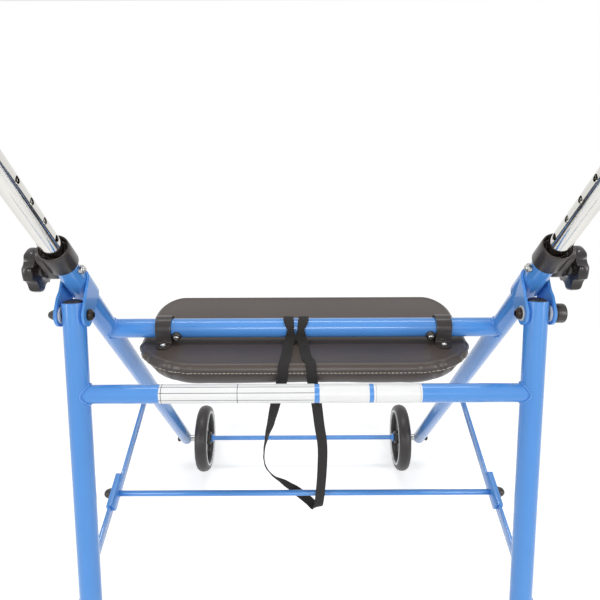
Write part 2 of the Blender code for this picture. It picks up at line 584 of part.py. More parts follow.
def make_axle(side, sign):
    """Axle bolt through the leg and wheel, with the steel spacer between them."""
    centre = on_front_leg(0, AXLE_AT)
    outwards = X_AXIS * sign
    hub_in = WHEEL_X - HUB_LENGTH / 2
    hub_out = WHEEL_X + HUB_LENGTH / 2
    leg_out = SIDE_X + TUBE_RADIUS
    profile = [(0, hub_in - CLEAR), (AXLE_RADIUS, hub_in - CLEAR), (AXLE_RADIUS, leg_out + CLEAR),
               (0.0065, leg_out + CLEAR), (0.0065, leg_out + 0.0035), (0.0045, leg_out + 0.0050), (0, leg_out + 0.0052)]
    turned(f"axle_bolt_{side}", profile, centre, outwards, BLACK_STEEL, BOLT_SEGMENTS)
    start = hub_out + CLEAR
    end = SIDE_X - TUBE_RADIUS - CLEAR
    bore = AXLE_RADIUS + CLEAR
    collar = 0.0018
    profile = [(bore, start), (0.0082, start), (0.0082, start + collar), (0.0062, start + collar), (0.0062, end),
               (bore, end)]
    turned(f"axle_spacer_{side}", profile, centre, outwards, STEEL, CAP_SEGMENTS)


def make_cross_rod():
    """Thin rod between the hubs that keeps the two front legs apart."""
    centre = on_front_leg(0, AXLE_AT)
    reach = WHEEL_X - HUB_LENGTH / 2 - 2 * CLEAR
    inside = reach - CROSS_ROD_COLLAR
    profile = [(0, -reach), (CROSS_ROD_COLLAR_RADIUS, -reach), (CROSS_ROD_COLLAR_RADIUS, -inside),
               (CROSS_ROD_RADIUS, -inside), (CROSS_ROD_RADIUS, inside), (CROSS_ROD_COLLAR_RADIUS, inside),
               (CROSS_ROD_COLLAR_RADIUS, reach), (0, reach)]
    turned("cross_rod", profile, centre, X_AXIS, BLUE, CAP_SEGMENTS)


def stay_frame(start, end):
    """Unit vectors along a stay and square to it, upwards."""
    along = (end - start).normalized()
    rise = X_AXIS.cross(along)
    return along, rise if rise.z > 0 else -rise


def stay_outline(x, start, end):
    half = STAY_HEIGHT / 2
    outline = hull_outline((start.y, start.z), half, (end.y, end.z), half * 0.999, 8)
    return [Vector((x, y, z)) for y, z in outline]


def make_front_stay(side, sign):
    """Flat bar from the front leg, folded over at the hinge into a channel that stops the rear bar."""
    inner_x = SIDE_X + TUBE_RADIUS + STAY_GAP
    anchor = on_front_leg(0, FRONT_STAY_AT)
    along, rise = stay_frame(STAY_END, anchor)
    tail = STAY_END - along * (CHANNEL_LENGTH / 2 - STAY_HEIGHT / 2)
    pivot = Vector((sign * inner_x, anchor.y, anchor.z))
    stay = prism(f"front_stay_{side}", stay_outline(sign * inner_x, tail, anchor),
                 X_AXIS * (sign * FRONT_STAY_THICK), BLUE, pivot)
    width = FRONT_STAY_THICK + REAR_STAY_THICK + 2 * CLEAR + CHANNEL_SHEET
    top = STAY_HEIGHT / 2 + STAY_LOCK_ROOM
    section = [(0, top - 0.004), (0, top + CHANNEL_SHEET), (width - 0.0008, top + CHANNEL_SHEET),
               (width, top + CHANNEL_SHEET - 0.0008), (width, -top + 0.002), (width - CHANNEL_SHEET, -top + 0.002),
               (width - CHANNEL_SHEET, top), (FRONT_STAY_THICK, top), (FRONT_STAY_THICK, top - 0.004)]
    back = STAY_END - along * (CHANNEL_LENGTH / 2)
    outline = [back + X_AXIS * (sign * (inner_x + x)) + rise * z for x, z in section]
    combine(stay, prism(f"channel_{side}", outline, along * CHANNEL_LENGTH, BLUE), "UNION")
    for name, spot, radius in (("anchor", anchor, STAY_BOLT_RADIUS), ("hinge", STAY_END, STAY_BOLT_RADIUS)):
        centre = Vector((sign * inner_x, spot.y, spot.z))
        combine(stay, hole_cutter(f"cut_{name}_{side}", centre, radius + CLEAR, 0.03))


def make_rear_stay(side, sign):
    """Flat bar from the hinge, inside the channel, back to the rear leg."""
    inner_x = SIDE_X + TUBE_RADIUS + STAY_GAP + FRONT_STAY_THICK + CLEAR
    anchor = on_rear_leg(0, REAR_STAY_AT)
    pivot = Vector((sign * inner_x, STAY_END.y, STAY_END.z))
    stay = prism(f"rear_stay_{side}", stay_outline(sign * inner_x, STAY_END, anchor),
                 X_AXIS * (sign * REAR_STAY_THICK), BLUE, pivot)
    for name, spot in (("hinge", STAY_END), ("anchor", anchor)):
        centre = Vector((sign * inner_x, spot.y, spot.z))
        combine(stay, hole_cutter(f"cut_rear_{name}_{side}", centre, STAY_BOLT_RADIUS + CLEAR, 0.03))
    outer = inner_x + REAR_STAY_THICK + CLEAR
    start = SIDE_X + TUBE_RADIUS + CLEAR
    spacer_end = inner_x - CLEAR
    profile = [(0, start), (0.0060, start), (0.0060, spacer_end), (STAY_BOLT_RADIUS, spacer_end),
               (STAY_BOLT_RADIUS, outer), (0.0062, outer), (0.0060, outer + 0.0020), (0.0040, outer + 0.0036),
               (0, outer + 0.0040)]
    turned(f"rear_stay_bolt_{side}", profile, anchor, X_AXIS * sign, BLACK_STEEL, BOLT_SEGMENTS, pivot)


def make_stay_bolt(side, sign):
    """Bolt through the front leg that the front stay turns on."""
    inner = SIDE_X - TUBE_RADIUS - CLEAR
    outer = SIDE_X + TUBE_RADIUS + STAY_GAP + FRONT_STAY_THICK + CLEAR
    profile = [(0, inner - 0.0040), (0.0035, inner - 0.0040), (0.0050, inner - 0.0030), (0.0050, inner),
               (STAY_BOLT_RADIUS, inner), (STAY_BOLT_RADIUS, outer), (0.0062, outer), (0.0060, outer + 0.0020),
               (0.0040, outer + 0.0036), (0, outer + 0.0040)]
    turned(f"stay_bolt_{side}", profile, on_front_leg(0, FRONT_STAY_AT), X_AXIS * sign, BLACK_STEEL, BOLT_SEGMENTS)


def make_fold_rod():
    """Rod that joins the two stay hinges; the strap lifts it to fold the frame."""
    shoulder = SIDE_X + TUBE_RADIUS + STAY_GAP - CLEAR
    end = shoulder + FRONT_STAY_THICK + REAR_STAY_THICK + CHANNEL_SHEET + 0.0065
    anchor = on_front_leg(0, FRONT_STAY_AT)
    profile = [(0, -end), (STAY_BOLT_RADIUS, -end), (STAY_BOLT_RADIUS, -shoulder), (FOLD_ROD_RADIUS, -shoulder),
               (FOLD_ROD_RADIUS, shoulder), (STAY_BOLT_RADIUS, shoulder), (STAY_BOLT_RADIUS, end), (0, end)]
    turned("fold_rod", profile, STAY_END, X_AXIS, BLUE, CAP_SEGMENTS, anchor)
    seat = shoulder + CLEAR + FRONT_STAY_THICK + REAR_STAY_THICK + CHANNEL_SHEET + 3 * CLEAR
    bore = STAY_BOLT_RADIUS + CLEAR
    for side, sign in SIDES:
        dome = [(0.0070, seat), (0.0070, seat + 0.0020)]
        dome += [(0.0062 * math.cos(a), seat + 0.0028 + 0.0070 * math.sin(a))
                 for a in (math.radians(d) for d in (0, 22, 44, 66))]
        profile = [(0, end + CLEAR), (bore, end + CLEAR), (bore, seat), *dome, (0, seat + 0.0098)]
        turned(f"rod_cap_{side}", profile, STAY_END, X_AXIS * sign, BLACK, CAP_SEGMENTS, anchor)


def seat_outline(near_in, side_in, far_in, points=11):
    """The seat's plan, as (x, along), drawn in from each edge. Corners are quarter ellipses."""
    half = SEAT_HALF_WIDTH - side_in
    near = -SEAT_NEAR + near_in
    far = SEAT_FAR - far_in
    outline = []
    for (rx, ry), x_sign, y_sign, edge in (
        (FAR_CORNER, 1, 1, far), (FAR_CORNER, -1, 1, far), (NEAR_CORNER, -1, -1, near), (NEAR_CORNER, 1, -1, near),
    ):
        wide = rx - side_in
        deep = min(ry - (far_in if y_sign > 0 else near_in), abs(edge))
        steps = range(points + 1) if x_sign == y_sign else range(points, -1, -1)
        for i in steps:
            turn = math.pi / 2 * i / points
            outline.append((x_sign * (half - wide + wide * math.cos(turn)),
                            edge - y_sign * deep + y_sign * deep * math.sin(turn)))
    return outline


def seat_ring(depth, near_in, side_in, far_in):
    return [SEAT_BAR + X_AXIS * x + SEAT_ALONG * along + SEAT_DOWN * depth
            for x, along in seat_outline(near_in, side_in, far_in)]


def make_seat():
    """Upholstered base panel and the crowned pad under it; the pad is on top once the seat is flipped."""
    base = [(SEAT_FACE, 0.0095, 0.0080, 0.0060), (SEAT_FACE + 0.0006, 0.0070, 0.0055, 0.0035),
            (SEAT_FACE + 0.0022, 0.0048, 0.0030, 0.0015), (SEAT_FACE + 0.0055, 0.0030, 0.0012, 0.0004),
            (SEAT_SPLIT - CLEAR, 0.0030, 0.0025, 0.0012)]
    loft("seat_base", [seat_ring(*row) for row in base], VINYL, pivot=SEAT_BAR)
    pad = [(SEAT_SPLIT, 0.0032, 0.0027, 0.0014), (SEAT_SPLIT + 0.0030, 0.0026, 0.0020, 0.0008),
           (SEAT_SPLIT + 0.0075, 0.0040, 0.0035, 0.0012), (SEAT_SPLIT + 0.0130, 0.0066, 0.0060, 0.0030),
           (SEAT_SPLIT + 0.0180, 0.0105, 0.0100, 0.0068), (SEAT_DEEP - 0.0020, 0.0170, 0.0160, 0.0130),
           (SEAT_DEEP - 0.0005, 0.0300, 0.0260, 0.0250), (SEAT_DEEP, 0.0470, 0.0320, 0.0480)]
    loft("seat_pad", [seat_ring(*row) for row in pad], VINYL, pivot=SEAT_BAR)


def make_seat_clip(side, sign):
    """Plastic saddle over the seat bar, with a riveted tab on each side, and the sleeve inside it."""
    sleeve_in = SEAT_BAR_RADIUS + 0.00025
    sleeve_out = sleeve_in + SLEEVE_WALL
    inner = sleeve_out + CLEAR
    outer = inner + CLIP_SHEET
    foot = SEAT_FACE - CLEAR
    start = SEAT_BAR + X_AXIS * (sign * CLIP_X - CLIP_WIDTH / 2)
    section = []
    steps = 12
    tab_top = foot - CLIP_SHEET
    for i in range(steps + 1):
        turn = math.pi * i / steps
        section.append((outer * math.cos(turn), -outer * math.sin(turn)))
    section += [(-outer, tab_top), (-CLIP_TAB, tab_top), (-CLIP_TAB, foot), (-inner, foot)]
    section += [(-inner * math.cos(math.pi * i / steps), -inner * math.sin(math.pi * i / steps))
                for i in range(steps + 1)]
    section += [(inner, foot), (CLIP_TAB, foot), (CLIP_TAB, tab_top), (outer, tab_top)]
    outline = [start + SEAT_ALONG * a + SEAT_DOWN * d for a, d in section]
    clip = prism(f"seat_clip_{side}", outline, X_AXIS * CLIP_WIDTH, BLACK, SEAT_BAR)
    reach = CLIP_TAB - CLIP_WIDTH / 2
    for end, way in (("near", -1), ("far", 1)):
        middle = SEAT_BAR + X_AXIS * (sign * CLIP_X) + SEAT_ALONG * (way * reach) + SEAT_DOWN * foot
        corner = []
        for i in range(9):
            turn = math.pi * i / 8
            corner.append((CLIP_WIDTH / 2 * math.cos(turn), CLIP_WIDTH / 2 * math.sin(turn)))
        wide = CLIP_WIDTH / 2 + 0.001
        corner = [(wide, 0), *corner, (-wide, 0), (-wide, wide + 0.002), (wide, wide + 0.002)]
        edge = [middle + X_AXIS * x + SEAT_ALONG * (way * y) + SEAT_DOWN * 0.001 for x, y in corner]
        combine(clip, prism(f"tab_cut_{side}_{end}", edge, -SEAT_DOWN * (CLIP_SHEET + 0.002), BLACK))
    profile = [(sleeve_in, 0), (sleeve_out, 0), (sleeve_out, CLIP_WIDTH), (sleeve_in, CLIP_WIDTH)]
    turned(f"clip_sleeve_{side}", profile, start, X_AXIS, BLACK, TUBE_SEGMENTS, SEAT_BAR)


def make_stop_screw(side, sign):
    """Screw in a black domed collar that keeps the clip from sliding along the bar."""
    turn = math.radians(STOP_DEG)
    out = Vector((0, math.cos(turn), math.sin(turn)))
    seat = SEAT_BAR_RADIUS + CLEAR
    profile = [(0, seat), (0.0058, seat), (0.0068, seat + 0.0010), (0.0062, seat + 0.0028), (0.0050, seat + 0.0040),
               (0.0046, seat + 0.0040), (0.0044, seat + 0.0052), (0.0020, seat + 0.0060), (0, seat + 0.0061)]
    turned(f"stop_screw_{side}", profile, SEAT_BAR + X_AXIS * (sign * STOP_X), out, BLACK, BOLT_SEGMENTS)


# The strap's middle line below the seat bar, chosen by hand, in ROUTE_UNIT: x, then forward and up from
# the fold pivot, and the way that its width faces. It crosses the seat, drops between the seat's near edge and
# the rear bar, turns edge-on, and passes behind, under and in front of the fold rod.
ACROSS = (1, 0, 0)
STRAP_ROUTE = (
    (-19.0, 49.7, -80.8, ACROSS), (-23.3, 10.4, -73.2, ACROSS),
    (-23.7, 5.8, -73.4, ACROSS), (-24.0, 2.7, -75.1, ACROSS), (-24.3, 0.5, -78.4, ACROSS),
    (-25.0, -1.1, -85.2, ACROSS), (-36.5, -3.5, -124.0, (1, 0.15, 0)), (-42.5, -4.0, -160.0, (0.8, 0.6, 0)),
    (-48.5, -4.0, -195.0, (0.3, 0.95, 0)), (-49.5, -3.0, -222.0, (0.3, 0.95, 0)),
    (-33.5, 1.0, -267.0, (0.8, 0.5, 0)),
    (-18.7, 3.5, -283.5, (0.95, 0.3, 0)), (-4.0, 3.5, -300.0, ACROSS), (10.0, -2.0, -311.0, ACROSS),
    (19.0, -7.0, -311.0, ACROSS), (22.5, -11.5, -299.0, ACROSS), (22.9, -12.5, -284.0, ACROSS),
    (24.0, -11.0, -184.0, ACROSS), (19.2, -10.0, -150.0, ACROSS),
    (14.7, -8.0, -115.0, ACROSS), (8.0, -1.1, -85.2, ACROSS), (7.4, 0.5, -78.4, ACROSS),
    (7.0, 2.7, -75.1, ACROSS), (6.8, 5.8, -73.4, ACROSS), (6.4, 10.4, -73.2, ACROSS),
    (-0.2, 49.7, -80.8, ACROSS),
)


def strap_over_bar(x, lap_x, lap):
    """One run's turns over the seat bar, from its lapped end on the far side to the near side."""
    chord = math.cos(math.radians(22.5))
    radius = (SEAT_BAR_RADIUS + CLEAR + STRAP_THICK / 2) / chord
    points = []
    for degrees, place_x, out in ((-60, lap_x, lap), (-20, x, lap), (25, x, 0), (70, x, 0), (115, x, 0), (160, x, 0),
                                  (190, x, 0)):
        turn = math.radians(degrees)
        ray = Vector((0, math.cos(turn), math.sin(turn)))
        points.append((SEAT_BAR + X_AXIS * place_x + ray * (radius + out), Vector(ACROSS)))
    return points


def make_strap():
    """Webbing hung over the seat bar, round the fold rod and back, with its ends lapped behind the bar."""
    left = strap_over_bar(-STRAP_LEFT_X, -STRAP_LEFT_X + STRAP_LAP, 0.0)
    right = strap_over_bar(-STRAP_RIGHT_X, -STRAP_RIGHT_X - STRAP_LAP, STRAP_THICK + CLEAR)
    middle = [(side_point(*(ROUTE_UNIT * place for place in spot)), Vector(wide)) for *spot, wide in STRAP_ROUTE]
    route = left + middle + right[::-1]
    rings = []
    for i, (spot, wide) in enumerate(route):
        along = (route[min(i + 1, len(route) - 1)][0] - route[max(i - 1, 0)][0]).normalized()
        half = (wide - along * wide.dot(along)).normalized() * (STRAP_WIDTH / 2)
        skin = along.cross(half).normalized() * (STRAP_THICK / 2)
        rings.append([spot + half + skin, spot - half + skin, spot - half - skin, spot + half - skin])
    strap = loft("pull_strap", rings, WEBBING)
    lap = (left[0][0] + left[1][0] + right[0][0] + right[1][0]) / 4
    out = lap - SEAT_BAR
    out.x = 0
    reach = out.normalized() * STRAP_THICK * 0.9
    combine(strap, rod("strap_stitch", lap - reach, lap + reach, STRAP_WIDTH / 6, WEBBING, BOLT_SEGMENTS), "UNION")


for side_name, side_sign in SIDES:
    make_front_leg(side_name, side_sign)
    make_bracket(side_name, side_sign)
    make_rear_leg(side_name, side_sign)
    make_pivot_hardware(side_name, side_sign)
    make_collar(side_name, side_sign)
    make_knob(side_name, side_sign)
    make_clamp_nut(side_name, side_sign)
    make_handle(side_name, side_sign)
    make_wheel(side_name, side_sign)
    make_axle(side_name, side_sign)
    make_front_stay(side_name, side_sign)
    make_rear_stay(side_name, side_sign)
    make_stay_bolt(side_name, side_sign)
    make_seat_clip(side_name, side_sign)
    make_stop_screw(side_name, side_sign)
make_crossbar("seat_bar", SEAT_BAR, SEAT_BAR_RADIUS, SEAT_BAR, FRONT_DOWN)
make_crossbar("rear_bar", REAR_BAR, REAR_BAR_RADIUS, REAR_BAR, REAR_DOWN)
make_cross_rod()
make_fold_rod()
make_seat()
make_strap()
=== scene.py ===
"""Folding walker with two front wheels and a flip seat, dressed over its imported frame."""

import math

import bpy
from mathutils import Matrix, Vector

import json


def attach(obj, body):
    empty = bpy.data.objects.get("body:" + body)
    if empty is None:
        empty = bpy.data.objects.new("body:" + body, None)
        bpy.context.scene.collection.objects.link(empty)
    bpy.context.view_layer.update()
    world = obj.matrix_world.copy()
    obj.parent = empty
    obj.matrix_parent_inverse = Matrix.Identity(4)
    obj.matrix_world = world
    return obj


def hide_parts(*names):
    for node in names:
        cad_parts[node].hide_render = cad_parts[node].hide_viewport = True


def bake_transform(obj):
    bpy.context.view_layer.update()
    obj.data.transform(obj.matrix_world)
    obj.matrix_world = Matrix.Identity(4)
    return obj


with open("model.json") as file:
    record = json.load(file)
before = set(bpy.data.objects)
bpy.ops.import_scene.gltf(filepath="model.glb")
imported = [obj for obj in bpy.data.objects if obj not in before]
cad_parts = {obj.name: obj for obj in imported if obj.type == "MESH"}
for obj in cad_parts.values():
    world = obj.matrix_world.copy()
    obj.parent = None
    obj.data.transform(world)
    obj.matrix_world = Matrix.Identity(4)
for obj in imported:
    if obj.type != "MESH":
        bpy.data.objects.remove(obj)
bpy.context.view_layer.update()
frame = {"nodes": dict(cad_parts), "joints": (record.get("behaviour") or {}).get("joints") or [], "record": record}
scene = bpy.context.scene
scene.view_settings.view_transform = "Standard"


# Camera. It stands behind the walker at the height of the grips and looks forwards and down through
# the frame, so the handles leave the picture at the top and the feet at the bottom.
def facing(origin, *axes):
    """The matrix of a thing at origin whose own x, y and z point along the axes."""
    return Matrix.Translation(origin) @ Matrix(axes).transposed().to_4x4()


pitch, yaw, roll = math.radians(36.0), math.radians(0.1136), math.radians(-0.1469)
looking = Vector((math.sin(yaw) * math.cos(pitch), math.cos(yaw) * math.cos(pitch), -math.sin(pitch)))
level_right = Vector((math.cos(yaw), -math.sin(yaw), 0))
level_up = level_right.cross(looking)
camera = bpy.data.objects.new("camera", bpy.data.cameras.new("camera"))
scene.collection.objects.link(camera)
camera.data.sensor_width = 36.0
camera.data.lens = 36.0 * 537.8 / 600
camera.data.clip_start = 0.02
camera.matrix_world = facing(
    (-0.006, -0.418715, 0.893195), level_right * math.cos(roll) + level_up * math.sin(roll),
    level_up * math.cos(roll) - level_right * math.sin(roll), -looking)
scene.camera = camera


# Studio. A plain pale floor, soft lamps overhead, on each side and over the camera, and a pale room.
# The floor takes the shadow, and the camera and bright metal see a white room behind the walker.
def node(tree, kind, values=None, wires=None, **settings):
    """Adds a shader node with its settings, its sockets' values and the wires into it. Gives its outputs."""
    made = tree.nodes.new("ShaderNode" + kind)
    for setting, value in settings.items():
        setattr(made, setting, value)
    for socket, value in (values or {}).items():
        made.inputs[socket].default_value = value
    for socket, source in (wires or {}).items():
        tree.links.new(source, made.inputs[socket])
    return made.outputs


def emptied(owner):
    """The owner's node tree without its nodes, the rays, and which of them the camera or a mirror sends."""
    owner.use_nodes = True
    tree = owner.node_tree
    tree.nodes.clear()
    rays = node(tree, "LightPath")
    direct = node(tree, "Math", wires={0: rays["Is Camera Ray"], 1: rays["Is Glossy Ray"]},
                  operation="MAXIMUM")
    return tree, rays, direct[0]


bpy.ops.object.select_all(action="DESELECT")
bpy.ops.mesh.primitive_plane_add(size=14, location=(0, 0, -0.0005))
floor = bpy.context.object
floor.name = "studio_floor"
floor_paint = bpy.data.materials.new("floor_white")
floor.data.materials.append(floor_paint)
tree, rays, direct = emptied(floor_paint)
matt = node(tree, "BsdfDiffuse", {"Color": (0.80, 0.80, 0.80, 1)})
lift = node(tree, "Math", {1: 0.46}, {0: direct}, operation="MULTIPLY")
glow = node(tree, "Emission", wires={"Strength": lift[0]})
both = node(tree, "AddShader", wires={0: matt[0], 1: glow[0]})
from_walker = node(tree, "VectorMath", wires={0: node(tree, "TexCoord")["Object"]}, operation="LENGTH")
fading = node(tree, "MapRange", {"From Min": 0.35, "From Max": 1.3}, {"Value": from_walker["Value"]},
              interpolation_type="SMOOTHSTEP")
fade = node(tree, "Math", wires={0: fading["Result"], 1: direct}, operation="MULTIPLY")
floor_mix = node(tree, "MixShader", wires={"Fac": fade[0], 1: both[0], 2: node(tree, "Emission")[0]})
node(tree, "OutputMaterial", wires={"Surface": floor_mix[0]})

scene.world = bpy.data.worlds.new("pale_room")
tree, rays, direct = emptied(scene.world)
clear = node(tree, "Math", wires={0: direct, 1: rays["Is Transmission Ray"]}, operation="MAXIMUM")
room_light = node(tree, "Background", {"Color": (0.98, 0.99, 1.0, 1), "Strength": 0.42})
room_seen = node(tree, "Background", {"Strength": 1.0})
room_mix = node(tree, "MixShader", wires={"Fac": clear[0], 1: room_light[0], 2: room_seen[0]})
node(tree, "OutputWorld", wires={"Surface": room_mix[0]})


def softbox(name, place, width, height, watts):
    """A rectangular lamp that faces the middle of the walker."""
    data = bpy.data.lights.new(name, "AREA")
    data.shape = "RECTANGLE"
    data.size, data.size_y, data.energy = width, height, watts
    lamp = bpy.data.objects.new(name, data)
    scene.collection.objects.link(lamp)
    lamp.location = place
    lamp.rotation_mode = "QUATERNION"
    lamp.rotation_quaternion = (Vector((0, 0, 0.5)) - Vector(place)).to_track_quat("-Z", "Y")


softbox("overhead_lamp", (0.0, 1.1, 2.8), 2.0, 0.25, 18)
softbox("left_lamp", (-2.0, -1.4, 1.7), 0.7, 1.4, 20)
softbox("right_lamp", (2.0, -1.4, 1.7), 0.7, 1.4, 20)
softbox("front_lamp", (0.1, -2.4, 2.1), 1.2, 0.5, 17)

# Front legs. Straight 22 mm steel tube, painted gloss sky-blue, open at the top for the handle and
# pressed to a closed round end just under the wheel's axle.
joint_at = {joint["name"]: Vector(joint["pos_m"]) for joint in frame["joints"] if joint.get("pos_m")}
SIDES = (("left", -1), ("right", 1))
pivot = joint_at["fold"]
knob_at = joint_at["knob_turn_right"]
leg_up = Vector(next(joint["axis"] for joint in frame["joints"] if joint["name"] == "handle_slide_left"))
leg_down = -leg_up
leg_front = Vector((0, -leg_down.z, leg_down.y))
side_x = knob_at.x
tube_radius, tube_wall, edge = 0.0111, 0.0013, 0.0004
tube_bore = tube_radius - tube_wall
leg_mouth = -0.0230  # along the leg from the clamp knob
axle_down = (joint_at["wheel_spin_right"] - knob_at).dot(leg_down)


def aside(x):
    return Vector((x, 0, 0))


def on_leg(sign, down):
    """A point on a front leg's axis, that far down it from the clamp knob. Sign 0 is the middle."""
    return Vector((sign * side_x, knob_at.y, knob_at.z)) + leg_down * down


def start_fresh():
    """Leaves nothing selected, because an operator acts on all that is."""
    if bpy.context.object and bpy.context.object.mode != "OBJECT":
        done()
    bpy.ops.object.select_all(action="DESELECT")


def started(name, add, **settings):
    """Adds one of Blender's own shapes."""
    start_fresh()
    add(**settings)
    bpy.context.object.name = name
    return bpy.context.object


def circle(name, count, radius, fill="NOTHING"):
    return started(name, bpy.ops.mesh.primitive_circle_add, vertices=count, radius=radius, fill_type=fill)


def edit():
    bpy.ops.object.mode_set(mode="EDIT")
    bpy.ops.mesh.select_all(action="SELECT")


def done():
    bpy.ops.object.mode_set(mode="OBJECT")


def hold(piece, *more):
    start_fresh()
    for item in (piece, *more):
        item.select_set(True)
    bpy.context.view_layer.objects.active = piece


def pick(piece, wanted=lambda place: True):
    """Opens edit mode with the points for which wanted(place) is true and what lies between them."""
    hold(piece)
    bpy.context.tool_settings.mesh_select_mode = (True, False, False)
    for point in piece.data.vertices:
        point.select = bool(wanted(point.co))
    for group in (piece.data.edges, piece.data.polygons):
        for item in group:
            item.select = all(piece.data.vertices[corner].select for corner in item.vertices)
    bpy.ops.object.mode_set(mode="EDIT")


def extrude(move):
    bpy.ops.mesh.extrude_region_move(TRANSFORM_OT_translate={"value": move})


def smooth(piece, degrees=35):
    hold(piece)
    bpy.ops.object.shade_smooth_by_angle(angle=math.radians(degrees))


def settle(piece):
    """Puts the piece's place into its mesh, as the frame's nodes have it."""
    hold(piece)
    bpy.ops.object.transform_apply(location=True, rotation=True, scale=True)


def work(piece, kind, **settings):
    """Adds one modifier with these settings and applies it."""
    hold(piece)
    step = piece.modifiers.new(kind.lower(), kind)
    for setting, value in settings.items():
        setattr(step, setting, value)
    bpy.ops.object.modifier_apply(modifier=step.name)


def cut_away(piece, other, operation="DIFFERENCE"):
    """Cuts the other shape out of the piece, or fuses it on, and throws it away."""
    work(piece, "BOOLEAN", operation=operation, solver="EXACT", object=other)
    bpy.data.objects.remove(other)


def round_edges(piece, width, segments=2, degrees=50):
    work(piece, "BEVEL", width=width, segments=segments, limit_method="ANGLE",
         angle_limit=math.radians(degrees))


def face_out(piece):
    """Merges doubled points and turns every face outwards."""
    hold(piece)
    edit()
    bpy.ops.mesh.remove_doubles(threshold=1e-6)
    bpy.ops.mesh.normals_make_consistent(inside=False)
    done()


def clean(piece, degrees=35):
    face_out(piece)
    smooth(piece, degrees)


def steps(base, *pairs):
    """A turned piece's (radius, distance) steps from pairs in millimetres, counted from this distance."""
    return [(radius / 1000, base + along / 1000) for radius, along in pairs]


def turned(name, profile, start, direction, segments=64):
    """Turns a profile of (radius, distance) steps as on a lathe: a ring, extruded and resized step by step.
    A last radius of 0 closes it in a point, and a profile that comes back to its start closes the ring."""
    radius, distance = profile[0]
    piece = circle(name, segments, radius, "NOTHING" if math.dist(profile[0], profile[-1]) < 1e-7 else "NGON")
    edit()
    bpy.ops.transform.translate(value=(0, 0, distance))
    for step_radius, step_distance in profile[1:]:
        extrude((0, 0, step_distance - distance))
        distance = step_distance
        if step_radius == 0:
            bpy.ops.mesh.merge(type="CENTER")
            break
        if step_radius != radius:
            share = step_radius / radius
            bpy.ops.transform.resize(value=(share, share, 1), center_override=(0, 0, distance))
            radius = step_radius
    done()
    face_out(piece)
    piece.rotation_mode = "QUATERNION"
    piece.rotation_quaternion = Vector((0, 0, 1)).rotation_difference(Vector(direction))
    piece.location = start
    settle(piece)
    smooth(piece)
    return piece


def quarter(count, first, last):
    """The angles from the first to the last of the count steps that make a quarter turn."""
    return [math.pi / 2 * step / count for step in range(first, last + 1)]


def dome(radius, base, height, count=7):
    """Steps that round a turned piece off to a point."""
    return [(radius * math.cos(turn), base + height * math.sin(turn))
            for turn in quarter(count, 1, count - 1)] + [(0, base + height)]


def shader_group(name, inputs, outputs):
    """A group of shader nodes with these numbers as inputs and these kinds of outputs."""
    group = bpy.data.node_groups.new(name, "ShaderNodeTree")
    for label, value in inputs.items():
        socket = group.interface.new_socket(name=label, in_out="INPUT", socket_type="NodeSocketFloat")
        socket.default_value = value
    for label, kind in outputs.items():
        group.interface.new_socket(name=label, in_out="OUTPUT", socket_type="NodeSocket" + kind)
    return group, group.nodes.new("NodeGroupInput").outputs, group.nodes.new("NodeGroupOutput").inputs


# Fine grain: the ripple of paint, the grain of moulded plastic or the tooth of rubber.
grain_group, inlet, outlet = shader_group(
    "fine_grain", {"Scale": 600.0, "Depth": 0.00002, "Strength": 0.5}, {"Normal": "Vector", "Shade": "Float"})
noise = node(grain_group, "TexNoise", {"Detail": 3.0},
             {"Vector": node(grain_group, "TexCoord")["Object"], "Scale": inlet["Scale"]})["Fac"]
bump = node(grain_group, "Bump",
            wires={"Height": noise, "Distance": inlet["Depth"], "Strength": inlet["Strength"]})
grain_group.links.new(bump["Normal"], outlet["Normal"])
grain_group.links.new(noise, outlet["Shade"])

# Handling: slow patches where hands, dust and cleaning have changed the surface a little.
patch_group, inlet, outlet = shader_group(
    "handled_patches", {"Scale": 14.0, "Contrast": 1.0}, {"Mask": "Float"})
noise = node(patch_group, "TexNoise", {"Detail": 5.0, "Roughness": 0.62},
             {"Vector": node(patch_group, "TexCoord")["Object"], "Scale": inlet["Scale"]})["Fac"]
spread = node(patch_group, "MapRange", {"From Min": 0.32, "From Max": 0.68},
              {"Value": noise, "To Max": inlet["Contrast"]})
patch_group.links.new(spread["Result"], outlet["Mask"])


def finish_of(name, slot, colour, worn_colour, smoothest, roughest, grain_scale, grain_depth,
              patch_scale=14.0, grain_strength=0.5, **sockets):
    """A surface whose colour drifts in patches and whose gloss and bump follow its grain, with its slot.
    Constants that are the same all over are set on the shader's own sockets."""
    made = bpy.data.materials.new(name)
    made.use_nodes = True
    tree = made.node_tree
    shader = tree.nodes["Principled BSDF"].inputs
    for socket, value in sockets.items():
        shader[socket.replace("_", " ")].default_value = value
    grain = node(tree, "Group", {"Scale": grain_scale, "Depth": grain_depth, "Strength": grain_strength},
                 node_tree=grain_group)
    patches = node(tree, "Group", {"Scale": patch_scale}, node_tree=patch_group)
    tint = node(tree, "Mix", {"A": (*colour, 1), "B": (*worn_colour, 1)}, {"Factor": patches["Mask"]},
                data_type="RGBA", name="tint")
    gloss = node(tree, "MapRange", {"To Min": smoothest, "To Max": roughest}, {"Value": grain["Shade"]})
    tree.links.new(tint["Result"], shader["Base Color"])
    tree.links.new(gloss["Result"], shader["Roughness"])
    tree.links.new(grain["Normal"], shader["Normal"])
    return made, slot


def fit(piece, surface, body, *nodes):
    """Gives the piece its surface, the body that it moves with and the nodes that it stands for."""
    material, slot = surface
    piece.data.materials.clear()
    piece.data.materials.append(material)
    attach(piece, body)
    if nodes:
        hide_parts(*nodes)


